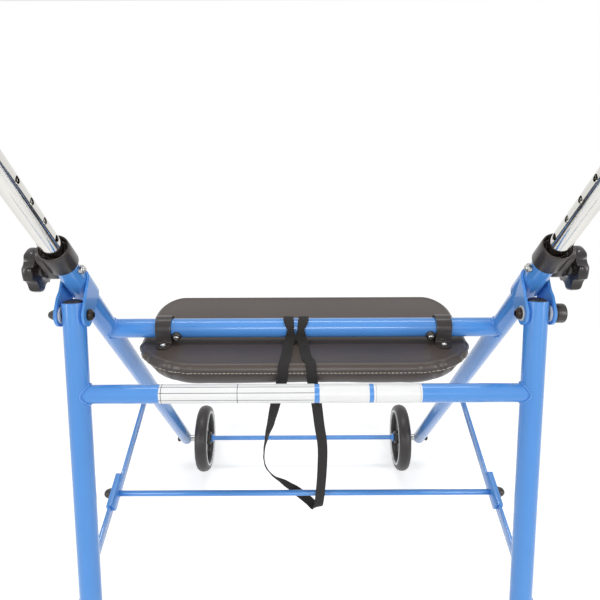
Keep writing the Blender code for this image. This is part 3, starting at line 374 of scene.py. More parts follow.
blue_paint = finish_of(
    "sky_blue_gloss_paint", "blue_paint", (0.090, 0.316, 0.775), (0.084, 0.300, 0.745), 0.20, 0.26, 90,
    0.00001, grain_strength=0.10, Coat_Weight=0.4, Coat_Roughness=0.05, Specular_IOR_Level=0.5)
round_end = axle_down + 0.013 - leg_mouth - tube_radius
for side, sign in SIDES:
    profile = [(tube_bore, 0.25), (tube_bore, edge), (tube_bore + edge, 0), (tube_radius - edge, 0),
               (tube_radius, edge), (tube_radius, round_end), *dome(tube_radius, round_end,
                                                                    tube_radius * 0.9)]
    leg = turned(f"front_tube_{side}", profile, on_leg(sign, leg_mouth), leg_down)
    fit(leg, blue_paint, "front_frame", f"front_leg_{side}")

# Seat bar and rear bar. Crossbars of the same painted tube, coped round the legs and welded to them
# with one bead of weld all round, painted over. The seat turns on the front one and rests on the other.
foot = {mount["name"]: Vector(mount["pos_m"]) for mount in frame["record"]["mounts"]}
rear_down = (foot["foot_right"] - pivot - aside(side_x)).normalized()
seat_bar, seat_bar_radius = joint_at["seat_swing"], 0.011
rear_bar, rear_bar_radius = pivot + rear_down * 0.0801, 0.0095


def crossbar(name, centre, radius, leg_way):
    reach = side_x - 0.003
    bar = turned(name, [(radius, -reach), (radius, reach)], centre, (1, 0, 0))
    for sign in (-1, 1):
        cope = [(tube_radius + 0.0001, -0.04), (tube_radius + 0.0001, 0.04)]
        cut_away(bar, turned("cope", cope, centre + aside(sign * side_x), leg_way))
    smooth(bar)
    return bar


def weld_bead(name, centre, radius, leg_way, sign):
    """A rippled bead where a bar meets the leg: a ring of points on both tubes, with its own thickness."""
    curve = bpy.data.curves.new(name, "CURVE")
    curve.dimensions = "3D"
    curve.bevel_depth = 1.0
    curve.bevel_resolution = 3
    bead = curve.splines.new("POLY")
    count = 120
    bead.points.add(count - 1)
    bead.use_cyclic_u = True
    out = radius + 0.0005
    for number, point in enumerate(bead.points):
        turn = math.tau * number / count
        sideways = out * math.cos(turn)
        dip = 0.0017
        if abs(sideways) < tube_radius:
            dip = math.sqrt(max(tube_radius ** 2 - min(sideways, tube_radius * 0.985) ** 2, 0))
        spot = (centre + aside(1).cross(leg_way).normalized() * sideways + leg_way * (out * math.sin(turn))
                + aside(sign * (side_x - dip - 0.0002)))
        point.co = (*spot, 1)
        point.radius = 0.0013 + 0.00022 * math.sin(turn * 26) + 0.0001 * math.sin(turn * 7 + 1)
    ring = bpy.data.objects.new(name, curve)
    scene.collection.objects.link(ring)
    hold(ring)
    bpy.ops.object.convert(target="MESH")
    ring = bpy.context.object
    clean(ring, 60)
    return ring


bars = (("seat", seat_bar, seat_bar_radius, leg_down, "front_frame"),
        ("rear", rear_bar, rear_bar_radius, rear_down, "rear_frame"))
for end, centre, radius, way, body in bars:
    fit(crossbar(f"{end}_crossbar", centre, radius, way), blue_paint, body, f"{end}_bar")
for side, sign in SIDES:
    for end, centre, radius, way, body in bars:
        fit(weld_bead(f"{end}_bar_weld_{side}", centre, radius, way, sign), blue_paint, body)


# Labels. Three white paper stickers with rounded corners are wrapped round the top and back of the
# rear bar. The long one has thin empty ruled boxes, the short one a thin frame, and one is blank.
def paper_of(name, columns=(), rows=()):
    """White paper with thin grey lines at these places of the sticker's own UV map."""
    paper = finish_of(name, "nylon", (0.90, 0.90, 0.895), (0.87, 0.87, 0.86), 0.36, 0.5, 900, 0.000006,
                      grain_strength=0.2)
    tree = paper[0].node_tree
    parts = node(tree, "SeparateXYZ", wires={"Vector": node(tree, "UVMap")["UV"]})
    inked = None
    for axis, places, half in (("X", columns, 0.0022), ("Y", rows, 0.010)):
        for place in places:
            line = node(tree, "Math", {1: place, 2: half}, {0: parts[axis]}, operation="COMPARE")[0]
            inked = node(tree, "Math", wires={0: inked, 1: line}, operation="MAXIMUM")[0] if inked else line
    if inked:
        ink = node(tree, "Mix", {"B": (0.10, 0.10, 0.11, 1)},
                   {"Factor": inked, "A": tree.nodes["tint"].outputs["Result"]}, data_type="RGBA")
        tree.links.new(ink["Result"], tree.nodes["Principled BSDF"].inputs["Base Color"])
    return paper


def sticker(name, left, right):
    """A thin sheet bent round the rear bar between two angles from straight up, towards the back."""
    radius = rear_bar_radius + 0.00008
    low_turn, high_turn = math.radians(-50), math.radians(140)
    sheet = started(name, bpy.ops.mesh.primitive_grid_add, x_subdivisions=40, y_subdivisions=36, size=1,
                    calc_uvs=True)
    corner = 0.0035
    for point in sheet.data.vertices:
        place_x = left + (point.co.x + 0.5) * (right - left)
        turn = low_turn + (point.co.y + 0.5) * (high_turn - low_turn)
        end = min(place_x - left, right - place_x)
        rim = min(turn - low_turn, high_turn - turn) * radius
        pull = math.hypot(corner - end, corner - rim)
        if end < corner and rim < corner < pull:
            kept = 1 - corner / pull
            place_x += (corner - end) * kept * (1 if place_x - left < right - place_x else -1)
            turn += (corner - rim) * kept / radius * (1 if turn - low_turn < high_turn - turn else -1)
        point.co = rear_bar + Vector((place_x, -math.sin(turn) * radius, math.cos(turn) * radius))
    work(sheet, "SOLIDIFY", thickness=0.00012, offset=0.0)
    clean(sheet, 60)
    return sheet


for name, left, right, paper in (
        ("sticker_long", -0.1448, 0.0088, paper_of("ruled_sticker_paper", (0.015, 0.505), (0.28, 0.48,
                                                                                           0.72))),
        ("sticker_middle", 0.0138, 0.0630, paper_of("white_sticker_paper")),
        ("sticker_short", 0.0674, 0.1150, paper_of("framed_sticker_paper", (0.05, 0.965)))):
    fit(sticker(name, left, right), paper, "rear_frame")

# Rear legs. The same painted tube, open at the top, where a dark plastic plug is pushed in a little
# below the rim, and standing in a black rubber tip at the foot.
black_plastic = finish_of(
    "black_moulded_plastic", "black_plastic", (0.036, 0.030, 0.027), (0.048, 0.040, 0.037), 0.24, 0.36,
    1500, 0.00002, grain_strength=0.3, Specular_IOR_Level=0.5)
rear_top = -0.0125
length = (pivot.z - 0.013) / -rear_down.z - rear_top
for side, sign in SIDES:
    top_at = pivot + aside(sign * side_x) + rear_down * rear_top
    profile = [(tube_bore, edge), (tube_bore + edge, 0), (tube_radius - edge, 0), (tube_radius, edge),
               (tube_radius, length - edge), (tube_radius - edge, length), (tube_bore, length),
               (tube_bore, edge)]
    fit(turned(f"rear_tube_{side}", profile, top_at, rear_down), blue_paint, "rear_frame",
        f"rear_leg_{side}")
    profile = steps(0, (9, 7.5), (9.5, 7), (9.5, 0.4), (9.2, -0.6), (8.3, -1.4), (6.7, -2.2), (4.5, -2.8),
                    (2, -3.1), (0, -3.1))
    fit(turned(f"tube_plug_{side}", profile, top_at, rear_down, 48), black_plastic, "rear_frame",
        f"leg_plug_{side}")

# Foot tips. Moulded rubber ferrules pushed over the rear tubes, ribbed where they grip, flared at the
# bottom and cut flat where they stand.
tip_rubber = finish_of(
    "ferrule_rubber", "tip_rubber", (0.026, 0.024, 0.024), (0.045, 0.043, 0.042), 0.62, 0.85, 900, 0.00006)
for side, sign in SIDES:
    floor_at = pivot + aside(sign * side_x) + rear_down * (pivot.z / -rear_down.z)
    ribs = [step for number in range(5) for step in steps(
        -0.0325 + 0.0045 * number, (13.8, 0), (14.5, 0.8), (15.2, 1.6), (15.2, 2.6), (14.5, 3.4))]
    profile = [*steps(0, (11.3, -13), (11.3, -37.5), (11.7, -38), (13.5, -38), (14, -37), (13.8, -34.5)),
               *ribs, *steps(0, (14.8, -9.5), (16.4, -7.5), (18, -6.8), (18.5, -5.5), (18.5, 20))]
    tip = turned(f"rubber_tip_{side}", profile, floor_at, rear_down)
    cut_away(tip, started("ground", bpy.ops.mesh.primitive_cube_add, size=0.1,
                          location=(sign * side_x, floor_at.y, -0.05)))
    clean(tip)
    fit(tip, tip_rubber, "rear_frame", f"foot_tip_{side}")

# Hinge brackets. One blank of 2.5 mm steel, pressed round the front tube and folded back as two ears
# round the rear tube, painted with the frame. The outer ear is set out a little for a nylon washer.
bracket_in = tube_radius + 0.0004
bracket_sheet = 0.0025
ear_flare = 0.0014
wrap_middle, wrap_length = 0.0328, 0.0292  # down the leg from the clamp bolt, and along it


def rounded_plate(name, first, first_radius, second, second_radius, x_from, x_to):
    """A flat plate between two round ends: a disc, half of it moved and resized, then extruded sideways."""
    plate = circle(name, 72, first_radius, "NGON")
    base = Vector((x_from, first.y, first.z))
    span = Vector((0, second.y - first.y, second.z - first.z))
    way = span.normalized()
    side_way = aside(1).cross(way)
    plate.matrix_world = facing(base, side_way, way, side_way.cross(way))
    settle(plate)
    pick(plate, lambda place: (place - base).dot(way) > 1e-5)
    bpy.ops.transform.translate(value=span)
    share = second_radius / first_radius
    bpy.ops.transform.resize(value=(1, share, share), center_override=base + span)
    bpy.ops.mesh.select_all(action="SELECT")
    extrude((x_to - x_from, 0, 0))
    done()
    face_out(plate)
    return plate


for side, sign in SIDES:
    up = on_leg(0, wrap_middle) - pivot
    ears = []
    for way, flare in ((-sign, 0.0), (sign, ear_flare)):
        inner_x = sign * side_x + way * bracket_in
        ear = rounded_plate("ear", pivot, 0.0115, on_leg(sign, wrap_middle), 0.0150, inner_x,
                            inner_x + way * bracket_sheet)
        pick(ear)
        bpy.ops.mesh.bisect(plane_co=on_leg(sign, 0), plane_no=leg_front, use_fill=True, clear_outer=True)
        for share in (0.62, 0.38):
            pick(ear)
            bpy.ops.mesh.bisect(plane_co=pivot + up * share, plane_no=up)
        pick(ear, lambda place: (place - pivot).dot(up) < up.length_squared * 0.5)
        bpy.ops.transform.translate(value=(way * flare, 0, 0))
        done()
        ears.append(ear)
    middle = on_leg(sign, wrap_middle - wrap_length / 2)
    bracket = circle("wrap", 72, bracket_in + bracket_sheet)
    bracket.matrix_world = facing(middle, aside(1), leg_front, aside(1).cross(leg_front))
    settle(bracket)
    pick(bracket, lambda place: (place - middle).dot(leg_front) < -1e-5)
    bpy.ops.mesh.delete(type="VERT")
    bpy.ops.mesh.select_all(action="SELECT")
    extrude(leg_down * wrap_length)
    done()
    face_out(bracket)
    face = bracket.data.polygons[0]
    wall_side = -1.0 if face.normal.dot(face.center - middle) > 0 else 1.0
    work(bracket, "SOLIDIFY", thickness=bracket_sheet, offset=wall_side)
    for ear in ears:
        face_out(ear)
        cut_away(bracket, ear, "UNION")
    bracket.name = f"sheet_bracket_{side}"
    tube_room = [(tube_radius + 0.0003, -0.05), (tube_radius + 0.0003, 0.16)]
    cut_away(bracket, turned("tube_room", tube_room, on_leg(sign, 0), leg_down))
    round_edges(bracket, 0.0005)
    clean(bracket, 40)
    fit(bracket, blue_paint, "front_frame", f"hinge_bracket_{side}")

# Hinge bolts. A blackened round-headed bolt from the inner side through both tubes' bracket, white
# nylon washers against the tube and a black plastic cap on the outside: pointed left, round right.
black_steel = finish_of(
    "blackened_steel", "black_steel", (0.030, 0.022, 0.017), (0.050, 0.038, 0.030), 0.22, 0.40, 1200,
    0.00001, Metallic=0.7)
white_nylon = finish_of(
    "white_nylon", "nylon", (0.72, 0.72, 0.70), (0.66, 0.655, 0.63), 0.38, 0.52, 1300, 0.00002)
cap_steps = {
    "left": ((4.3, 0), (7.4, 0), (7.9, 0.4), (7.9, 1.1), (6.6, 1.4), (6.3, 2.0), (5.2, 4.2), (3.6, 7.4),
        (2.7, 8.6), (1.4, 9.1), (0, 9.2)),
    "right": ((4.3, 0), (9.0, 0), (9.6, 0.6), (9.6, 1.6), (9.2, 1.9), (9.6, 2.2), (9.6, 9.4), (9.1, 10.6),
        (8.2, 11.1), (0, 11.2))}
inner_face = side_x - bracket_in - bracket_sheet
outer_face = side_x + bracket_in + bracket_sheet + ear_flare
head_washer = 0.0013
for side, sign in SIDES:
    outwards = aside(sign)
    head = inner_face - 0.0003 - (head_washer if side == "right" else 0)
    profile = [*steps(head, (4, 0), (5.6, 0), (5.9, -0.6), (5.9, -1.6)),
               *[(0.0059 * math.cos(turn), head - 0.0016 - 0.0036 * math.sin(turn))
                 for turn in (math.radians(step * 11) for step in range(1, 6))],
               *steps(head, (3, -5), (2.7, -5), (2.5, -3), (0, -3))]
    fit(turned(f"pivot_bolt_head_{side}", profile, pivot, outwards, 48), black_steel, "front_frame")
    profile = [(0.004, head), (0.004, outer_face + 0.0055)]
    fit(turned(f"pivot_bolt_shank_{side}", profile, pivot, outwards, 32), black_steel, "front_frame",
        f"pivot_bolt_{side}")
    cap = turned(f"hinge_cap_{side}", steps(outer_face + 0.0003, *cap_steps[side]), pivot, outwards, 56)
    fit(cap, black_plastic, "front_frame", f"pivot_cap_{side}")
    profile = steps(side_x + tube_radius + 0.00015, (4.3, 0), (8.3, 0), (8.5, 0.2), (8.5, 1.2), (8.3, 1.4),
                    (4.3, 1.4), (4.3, 0))
    fit(turned(f"hinge_washer_{side}", profile, pivot, outwards, 48), white_nylon, "rear_frame",
        f"pivot_washer_{side}")
profile = steps(inner_face - head_washer, (4.3, 0), (7.3, 0), (7.5, 0.2), (7.5, 0.8), (7.3, 1), (4.3, 1),
                (4.3, 0))
fit(turned("bolt_head_washer", profile, pivot, (1, 0, 0), 48), white_nylon, "front_frame",
    "head_washer_right")

# Collars. Satin black moulded rings over the legs' mouths, with a thin-walled mouth round the chrome
# tube and a tongue down the outer side, which the clamp knob presses on.
for side, sign in SIDES:
    top, end = -0.0365, -0.0115
    leg_room = tube_radius + 0.0003
    profile = [(0.0098, leg_mouth - 0.0003),
               *steps(top, (9.8, 8.8), (10.4, 8.3), (12.1, 7.4), (12.4, 6.4), (12.7, 1.2), (12.9, 0.5),
                      (13.2, 0.1), (13.5, 0), (13.8, 0.2), (14.1, 0.8), (14.3, 6)),
               *steps(end, (14.5, -1), (14.3, -0.3), (13.8, 0)),
               (leg_room, end), (leg_room, leg_mouth - 0.0003), (0.0098, leg_mouth - 0.0003)]
    collar = turned(f"mouth_collar_{side}", profile, on_leg(sign, 0), leg_down)
    tongue = rounded_plate("tongue", on_leg(sign, 0), 0.0092, on_leg(sign, top + 0.0125), 0.0092,
                           sign * (side_x + 0.0060), sign * (side_x + 0.0172))
    round_edges(tongue, 0.0012, 3)
    room = [(tube_radius + 0.0004, -0.06), (tube_radius + 0.0004, 0.06)]
    cut_away(tongue, turned("room", room, on_leg(sign, 0), leg_down))
    cut_away(collar, tongue, "UNION")
    clean(collar, 40)
    fit(collar, black_plastic, "front_frame", f"collar_{side}")

# Clamp knobs and nuts. Five-lobed knobs of glossy black plastic on a neck, with the bolt moulded in,
# and a bright zinc-plated nut where the bolt comes out on the inner side.
gloss_black = finish_of(
    "glossy_black_plastic", "black_plastic", (0.018, 0.014, 0.014), (0.026, 0.021, 0.020), 0.16, 0.26, 900,
    0.000012, grain_strength=0.2, Coat_Weight=0.3, Coat_Roughness=0.05)
zinc_steel = finish_of(
    "zinc_plate", "zinc_steel", (0.62, 0.62, 0.60), (0.50, 0.50, 0.48), 0.18, 0.38, 1600, 0.00001,
    Metallic=1.0)
neck = 0.0172 + 0.0003
head = neck + 0.0070
for side, sign in SIDES:
    centre, outwards = on_leg(sign, 0), aside(sign)
    profile = steps(head, (18.4, 0), (20.2, 0.5), (21.3, 1.6), (21.7, 3.2), (21.7, 6.6), (21.2, 8.4),
                    (20, 9.6), (18, 10.2), (9.5, 10.4), (8.5, 10), (4, 9.6), (0, 9.5))
    knob = turned(f"five_lobe_knob_{side}", profile, centre, outwards, 96)
    for number in range(5):
        turn = math.radians(126 + 72 * number)
        at = centre + Vector((0, math.cos(turn), math.sin(turn))) * 0.0252
        cut_away(knob, turned("scoop", [(0.0093, head - 0.01), (0.0093, head + 0.03)], at, outwards, 48))
    round_edges(knob, 0.0018, 4, 48)
    profile = steps(neck, (8.2, 0), (8.7, 0.5), (8.7, 2.2), (8, 3.2), (7.7, 4.6), (8.4, 6.2), (10.8, 8))
    cut_away(knob, turned("neck", profile, centre, outwards, 56), "UNION")
    clean(knob, 40)
    fit(knob, gloss_black, f"knob_{side}", f"clamp_knob_{side}")
    profile = steps(tube_radius + 0.0006, (3, -4), (3, 0), (4.4, 0), (4.4, 2.6), (4.1, 3), (3.6, 3.4),
                    (3.2, 3.5), (2.8, 3.8), (2.6, 4.8), (2, 5.2), (0, 5.3))
    fit(turned(f"bolt_nut_{side}", profile, centre, -outwards, 48), zinc_steel, "front_frame",
        f"clamp_nut_{side}")

# Handles. Chrome-plated steel tube that slides in the front leg, drilled with a row of holes for the
# clamp bolt and bent back at the top over a 55 mm radius to carry the grip.
chrome = finish_of(
    "bright_chrome", "chrome", (0.74, 0.725, 0.685), (0.69, 0.675, 0.64), 0.05, 0.12, 300, 0.000004,
    grain_strength=0.15, Metallic=1.0)
handle_radius, handle_wall = 0.0095, 0.0014
hole_pitch = 0.025
bend, bend_steps = 0.055, 24
grip_start, grip_length, grip_height = 0.014, 0.118, 0.900
corner = on_leg(0, 0) + leg_up * ((grip_height - on_leg(0, 0).z) / leg_up.z)
lean = math.acos(leg_down.y)
tangent = bend * math.tan(lean / 2)
level_start = corner + Vector((0, -tangent, 0))
for side, sign in SIDES:
    bottom = on_leg(sign, 2 * hole_pitch + 0.020)
    tube = circle(f"chrome_tube_{side}", 64, handle_radius)
    tube.matrix_world = facing(bottom, aside(1), leg_front, aside(1).cross(leg_front))
    settle(tube)
    edit()
    extrude(corner - leg_up * tangent + aside(sign * side_x) - bottom)
    centre = level_start + Vector((sign * side_x, 0, -bend))
    turn = Matrix.Translation(centre) @ Matrix.Rotation(lean / bend_steps, 4, "X")
    turn = turn @ Matrix.Translation(-centre)
    for number in range(bend_steps):
        extrude((0, 0, 0))
        done()
        for point in tube.data.vertices:
            if point.select:
                point.co = turn @ point.co
        bpy.ops.object.mode_set(mode="EDIT")
    extrude((0, -grip_start - grip_length + 0.004, 0))
    done()
    face_out(tube)
    work(tube, "SOLIDIFY", thickness=handle_wall, offset=-1.0)
    for number in range(-2, 6):
        drill = [(0.0032, -0.02), (0.0032, 0.02)]
        cut_away(tube, turned("drill", drill, on_leg(sign, -number * hole_pitch), (1, 0, 0), 32))
    clean(tube, 40)
    fit(tube, chrome, f"handle_{side}", f"handle_tube_{side}")

# Grips. Black moulded sleeves pushed over the level ends of the tubes, with five finger waves, a
# flange in front and a closed rounded end behind.
grip_rubber = finish_of(
    "grip_rubber", "black_plastic", (0.022, 0.020, 0.020), (0.034, 0.032, 0.031), 0.55, 0.75, 1200, 0.00005)
grip_end = grip_start + grip_length
for side, sign in SIDES:
    waves = [(0.0150 - 0.0011 * (1 - math.cos(math.tau * 5 * number / 50)),
              grip_start + 0.008 + (grip_length - 0.018) * number / 50) for number in range(51)]
    profile = [*steps(grip_end, (9.7, -3.5)),
               *steps(grip_start, (9.7, 0), (16, 0), (16.7, 0.8), (16.8, 2), (16.8, 4.2), (16.3, 5.5),
                      (15.4, 6.3)), *waves, *steps(grip_end, (15.4, -8.5), (16, -7.2), (16.1, -6),
                                                   (16.1, -2.8), (15.5, -1), (14, -0.1), (8, 0), (0, 0))]
    grip = turned(f"hand_grip_{side}", profile, level_start + aside(sign * side_x), (0, -1, 0), 72)
    fit(grip, grip_rubber, f"handle_{side}", f"grip_{side}")

# Wheels. Solid moulded tyres with a rounded tread on black five-spoked plastic rims, with a thin white
# stripe moulded in where the tyre meets the rim. They turn on the axle bolts, inside the legs.
tyre_rubber = finish_of(
    "tyre_rubber", "tyre_rubber", (0.030, 0.026, 0.025), (0.042, 0.037, 0.036), 0.34, 0.46, 1100, 0.00002,
    grain_strength=0.3, Specular_IOR_Level=0.5)
stripe_white = finish_of(
    "white_stripe", "nylon", (0.88, 0.88, 0.86), (0.82, 0.82, 0.80), 0.4, 0.55, 900, 0.00001)
rim_plastic = finish_of(
    "rim_plastic", "black_plastic", (0.016, 0.015, 0.015), (0.024, 0.022, 0.022), 0.28, 0.45, 1300, 0.00002)
spoke_middle = 0.0293


def both_ways(half):
    """A ring's profile from its one half: the mirror image, the half backwards and the start again."""
    mirror = [(radius, -along) for radius, along in half]
    return mirror + [step for step in half[::-1] if step[1]] + mirror[:1]


def joined(piece, *others):
    hold(piece, *others)
    bpy.ops.object.join()
    return piece


tyre_half = steps(0, (51.8, 9), (51.9, 10.4), (52.6, 10.9), (54.5, 11), (56.2, 10.7), (58, 9.9), (59.5, 8.6),
                  (60.7, 7), (61.6, 5), (62.2, 2.8), (62.5, 0))
rim_half = steps(0, (48.3, 8.6), (47.9, 9.1), (46.8, 8.6), (45.6, 6), (45.1, 4))
hub_half = steps(0, (4.3, 12), (9.5, 12), (10.8, 11.4), (11.6, 10.2), (12.5, 7))
stripe = ((48.4, 8), (48.4, 10.6), (48.8, 11.2), (51.3, 11.4), (51.7, 10.9), (51.7, 8), (48.4, 8))
for side, sign in SIDES:
    centre, axis = joint_at[f"wheel_spin_{side}"], aside(sign)
    body = f"wheel_{side}"
    fit(turned(f"moulded_tyre_{side}", both_ways(tyre_half), centre, axis, 96), tyre_rubber, body,
        f"tyre_{side}")
    stripes = [turned(f"rim_stripe_{side}", steps(0, *((radius, way * along) for radius, along in stripe)),
                      centre, axis, 96) for way in (-1, 1)]
    fit(joined(*stripes), stripe_white, body)
    parts = [turned(f"spoked_rim_{side}", both_ways(rim_half), centre, axis, 96),
             turned("hub", both_ways(hub_half), centre, axis, 56)]
    for number in range(5):
        turn = math.tau * (number + 0.25) / 5
        out = Vector((0, math.cos(turn), math.sin(turn)))
        middle = centre + out * spoke_middle
        across = aside(1).cross(out)
        spoke = started("spoke", bpy.ops.mesh.primitive_cube_add, size=1)
        spoke.matrix_world = facing(middle, aside(1), across, aside(1).cross(across)) @ Matrix.Diagonal(
            (0.009, 0.0125, 0.0335, 1))
        settle(spoke)
        pick(spoke)
        bpy.ops.mesh.bisect(plane_co=middle, plane_no=out)
        done()
        pick(spoke, lambda place: abs((place - middle).dot(out)) < 1e-4)
        bpy.ops.transform.resize(value=(0.72, 0.72, 0.72), center_override=middle)
        done()
        round_edges(spoke, 0.0016, 3)
        clean(spoke, 50)
        parts.append(spoke)
    fit(joined(*parts), rim_plastic, body, f"rim_{side}")

# Axles. A blackened bolt through each leg's flattened-off end, a bright steel spacer between leg and
# hub, and a thin painted rod with a collar at each end that ties the two axles together.
wheel_x = joint_at["wheel_spin_right"].x
near, far = wheel_x + 0.0123, side_x - tube_radius + 0.0006
axle_at = on_leg(0, axle_down)
for side, sign in SIDES:
    profile = [(0.004, wheel_x - 0.0122), *steps(side_x + tube_radius + 0.0002, (4, 0), (6.2, 0), (6.5, 0.4),
                                                 (6.5, 2.6), (6, 3.6), (5, 4.4), (3, 4.9), (0, 5.1))]
    fit(turned(f"wheel_axle_{side}", profile, axle_at, aside(sign), 40), black_steel, "front_frame",
        f"axle_bolt_{side}")
    profile = [*steps(near, (4.3, 0), (8, 0), (8.2, 0.2), (8.2, 1.6), (8, 1.8), (6.3, 1.9), (6.1, 2.1),
                      (6.1, 5.2), (7.4, 5.4), (7.4, 7.8), (6.2, 8)), (0.0062, far), (0.0043, far),
                      (0.0043, near)]
    fit(turned(f"bright_spacer_{side}", profile, axle_at, aside(sign), 48), zinc_steel, "front_frame",
        f"axle_spacer_{side}")
rod_half = steps(wheel_x - 0.012 - 0.0006, (7.4, 0), (7.8, -0.4), (7.8, -2.6), (7.4, -3), (4.3, -3.1))
fit(turned("wheel_cross_rod", both_ways(rod_half)[:-1], axle_at, (1, 0, 0), 40), blue_paint, "front_frame",
    "cross_rod")

# Folding stays. Flat painted bars on the outer sides of the legs. The front one is folded over at the
# middle hinge into a short channel, and the rear one comes up against it when the frame is open.
stay_end = joint_at["rear_stay_hinge"]
front_anchor = joint_at["front_stay_hinge"]
rear_anchor = pivot + rear_down * 0.3275
stay_x = side_x + tube_radius + 0.0007
front_thick, rear_thick = 0.0030, 0.0035
rear_x = stay_x + front_thick + 0.0003
stay_radius = 0.0070
channel_length, channel_corner, channel_low = 0.046, 0.005, -0.0051
along = Vector((0, front_anchor.y - stay_end.y, front_anchor.z - stay_end.z)).normalized()
rise = aside(1).cross(along)
rise = rise if rise.z > 0 else -rise
stay_head = ((3, 0), (6, 0), (6.3, 0.4), (6.2, 1.6), (5.5, 2.7), (4, 3.5), (2, 3.9), (0, 4))
path = [(0.0015, 0.0045), (0.0015, 0.0076)]
path += [(0.0030 - 0.0015 * math.cos(turn), 0.0076 + 0.0015 * math.sin(turn)) for turn in quarter(5, 1, 5)]
path += [(0.0066 + 0.0015 * math.sin(turn), 0.0076 + 0.0015 * math.cos(turn)) for turn in quarter(5, 0, 5)]
path += [(0.0081, up) for up in (0.0050, 0.0020, 0.0, -0.0015, -0.0030, -0.0042, channel_low)]
for side, sign in SIDES:
    stay = rounded_plate(f"front_stay_bar_{side}", front_anchor, stay_radius, stay_end - along * 0.016,
                         stay_radius, sign * stay_x, sign * (stay_x + front_thick))
    round_edges(stay, 0.0005)
    channel = started("channel", bpy.ops.mesh.primitive_grid_add, x_subdivisions=24,
                      y_subdivisions=len(path) - 1, size=1)
    for point in channel.data.vertices:
        out, up = path[round((point.co.y + 0.5) * (len(path) - 1))]
        end = channel_length * min(point.co.x + 0.5, 0.5 - point.co.x)
        if end < channel_corner and up < 0.0:
            flat = math.sqrt(max(channel_corner ** 2 - (channel_corner - end) ** 2, 0))
            up = max(up, channel_low + channel_corner - flat)
        spot = stay_end + along * (point.co.x * channel_length) + rise * up
        point.co = spot + aside(sign * (stay_x + out))
    work(channel, "SOLIDIFY", thickness=0.0019, offset=0.0)
    clean(channel, 50)
    smooth(stay, 40)
    fit(joined(stay, channel), blue_paint, "front_stays", f"front_stay_{side}")
    stay = rounded_plate(f"rear_stay_bar_{side}", stay_end, stay_radius, rear_anchor, stay_radius,
                         sign * rear_x, sign * (rear_x + rear_thick))
    round_edges(stay, 0.0005)
    smooth(stay, 40)
    fit(stay, blue_paint, "rear_stays", f"rear_stay_{side}")
    profile = [*steps(side_x - tube_radius - 0.0003, (4, -4), (4.8, -3.4), (5.1, -2.4), (5.1, 1), (3, 1.1)),
               *steps(stay_x + front_thick + 0.0003, *stay_head)]
    fit(turned(f"front_stay_bolt_{side}", profile, front_anchor, aside(sign), 40), black_steel, "front_frame",
        f"stay_bolt_{side}")
    profile = [(0.0060, side_x + tube_radius + 0.0003), *steps(rear_x - 0.0003, (6, 0), (3, 0)),
               *steps(rear_x + rear_thick + 0.0003, *stay_head)]
    fit(turned(f"rear_stay_pin_{side}", profile, rear_anchor, aside(sign), 40), black_steel, "rear_stays",
        f"rear_stay_bolt_{side}")

# Fold rod. A thin painted rod right across, through both stay hinges, stepped down at its ends and
# closed with black push-on domes. Lifting it by the strap folds the frame.
shoulder = stay_x - 0.0003
rod_half = [(0.0030, shoulder + front_thick + rear_thick + 0.0085),
            *steps(shoulder, (3, 0), (3.5, -0.1), (3.7, -0.4))]
fit(turned("lifting_rod", both_ways(rod_half)[:-1], stay_end, (1, 0, 0), 40), blue_paint, "front_stays",
    "fold_rod")
seat = shoulder + front_thick + rear_thick + 0.0032
for side, sign in SIDES:
    profile = [*steps(seat, (3.3, 0), (6.6, 0), (7, 0.4), (7, 1.7), (6.6, 2.1)),
               *dome(0.0063, seat + 0.0023, 0.0074, 9)[:-1], (0, seat + 0.0098)]
    fit(turned(f"rod_dome_{side}", profile, stay_end, aside(sign), 56), black_plastic, "front_stays",
        f"rod_cap_{side}")

# Seat base. A board wrapped in grained black vinyl: a firm flat face with a hem ridge round it, which
# slopes down to the seam, and gathered pleats where the vinyl is pulled round the two near corners.
slope = math.radians(11.5)
seat_along = Vector((0, math.cos(slope), -math.sin(slope)))
seat_down = Vector((0, -math.sin(slope), -math.cos(slope)))
seat_half, seat_near, seat_far = 0.1922, 0.066, 0.119
near_corner, far_corner = (0.0748, 0.066), (0.033, 0.046)
corner_steps, edge_steps = 44, 30


def seat_point(x, along, depth):
    return seat_bar + aside(x) + seat_along * along + seat_down * depth


def seat_outline(near_in, side_in, far_in):
    """The seat's plan, drawn in from its edges, as (x, along) with the same count of points each time."""
    half = seat_half - side_in
    near, far = -seat_near + near_in, seat_far - far_in
    turns = quarter(corner_steps, 0, corner_steps)
    corners = []
    for (wide, deep), x_sign, y_sign, rim in ((far_corner, 1, 1, far), (far_corner, -1, 1, far),
                                              (near_corner, -1, -1, near), (near_corner, 1, -1, near)):
        wide -= side_in
        deep = min(deep - (far_in if y_sign > 0 else near_in), abs(rim))
        corners.append([
            (x_sign * (half - wide + wide * math.cos(turn)), rim + y_sign * deep * (math.sin(turn) - 1))
            for turn in (turns if x_sign == y_sign else turns[::-1])])
    outline = []
    for number, corner in enumerate(corners):
        outline += corner
        (x_a, y_a), (x_b, y_b) = corner[-1], corners[(number + 1) % 4][0]
        outline += [(x_a + (x_b - x_a) * step / edge_steps, y_a + (y_b - y_a) * step / edge_steps)
                    for step in range(1, edge_steps)]
    return outline


def from_points(name, points, faces):
    mesh = bpy.data.meshes.new(name)
    mesh.from_pydata(points, [], faces)
    made = bpy.data.objects.new(name, mesh)
    scene.collection.objects.link(made)
    return made


def pleat(x, along):
    """How deeply the vinyl is gathered at this place of the rim: most round the near corners."""
    if along > 0.012:
        return 0.0
    past = abs(x) - (seat_half - near_corner[0])
    turn = math.atan2(0.012 - along, max(past, 1e-6))
    folds = math.sin(turn * 25 + (0.6 if x > 0 else 0.0)) + 0.6 * math.sin(turn * 41 + 1.3)
    return min(max((past + 0.012) / 0.030, 0), 1) * min((0.012 - along) / 0.030, 1) * folds


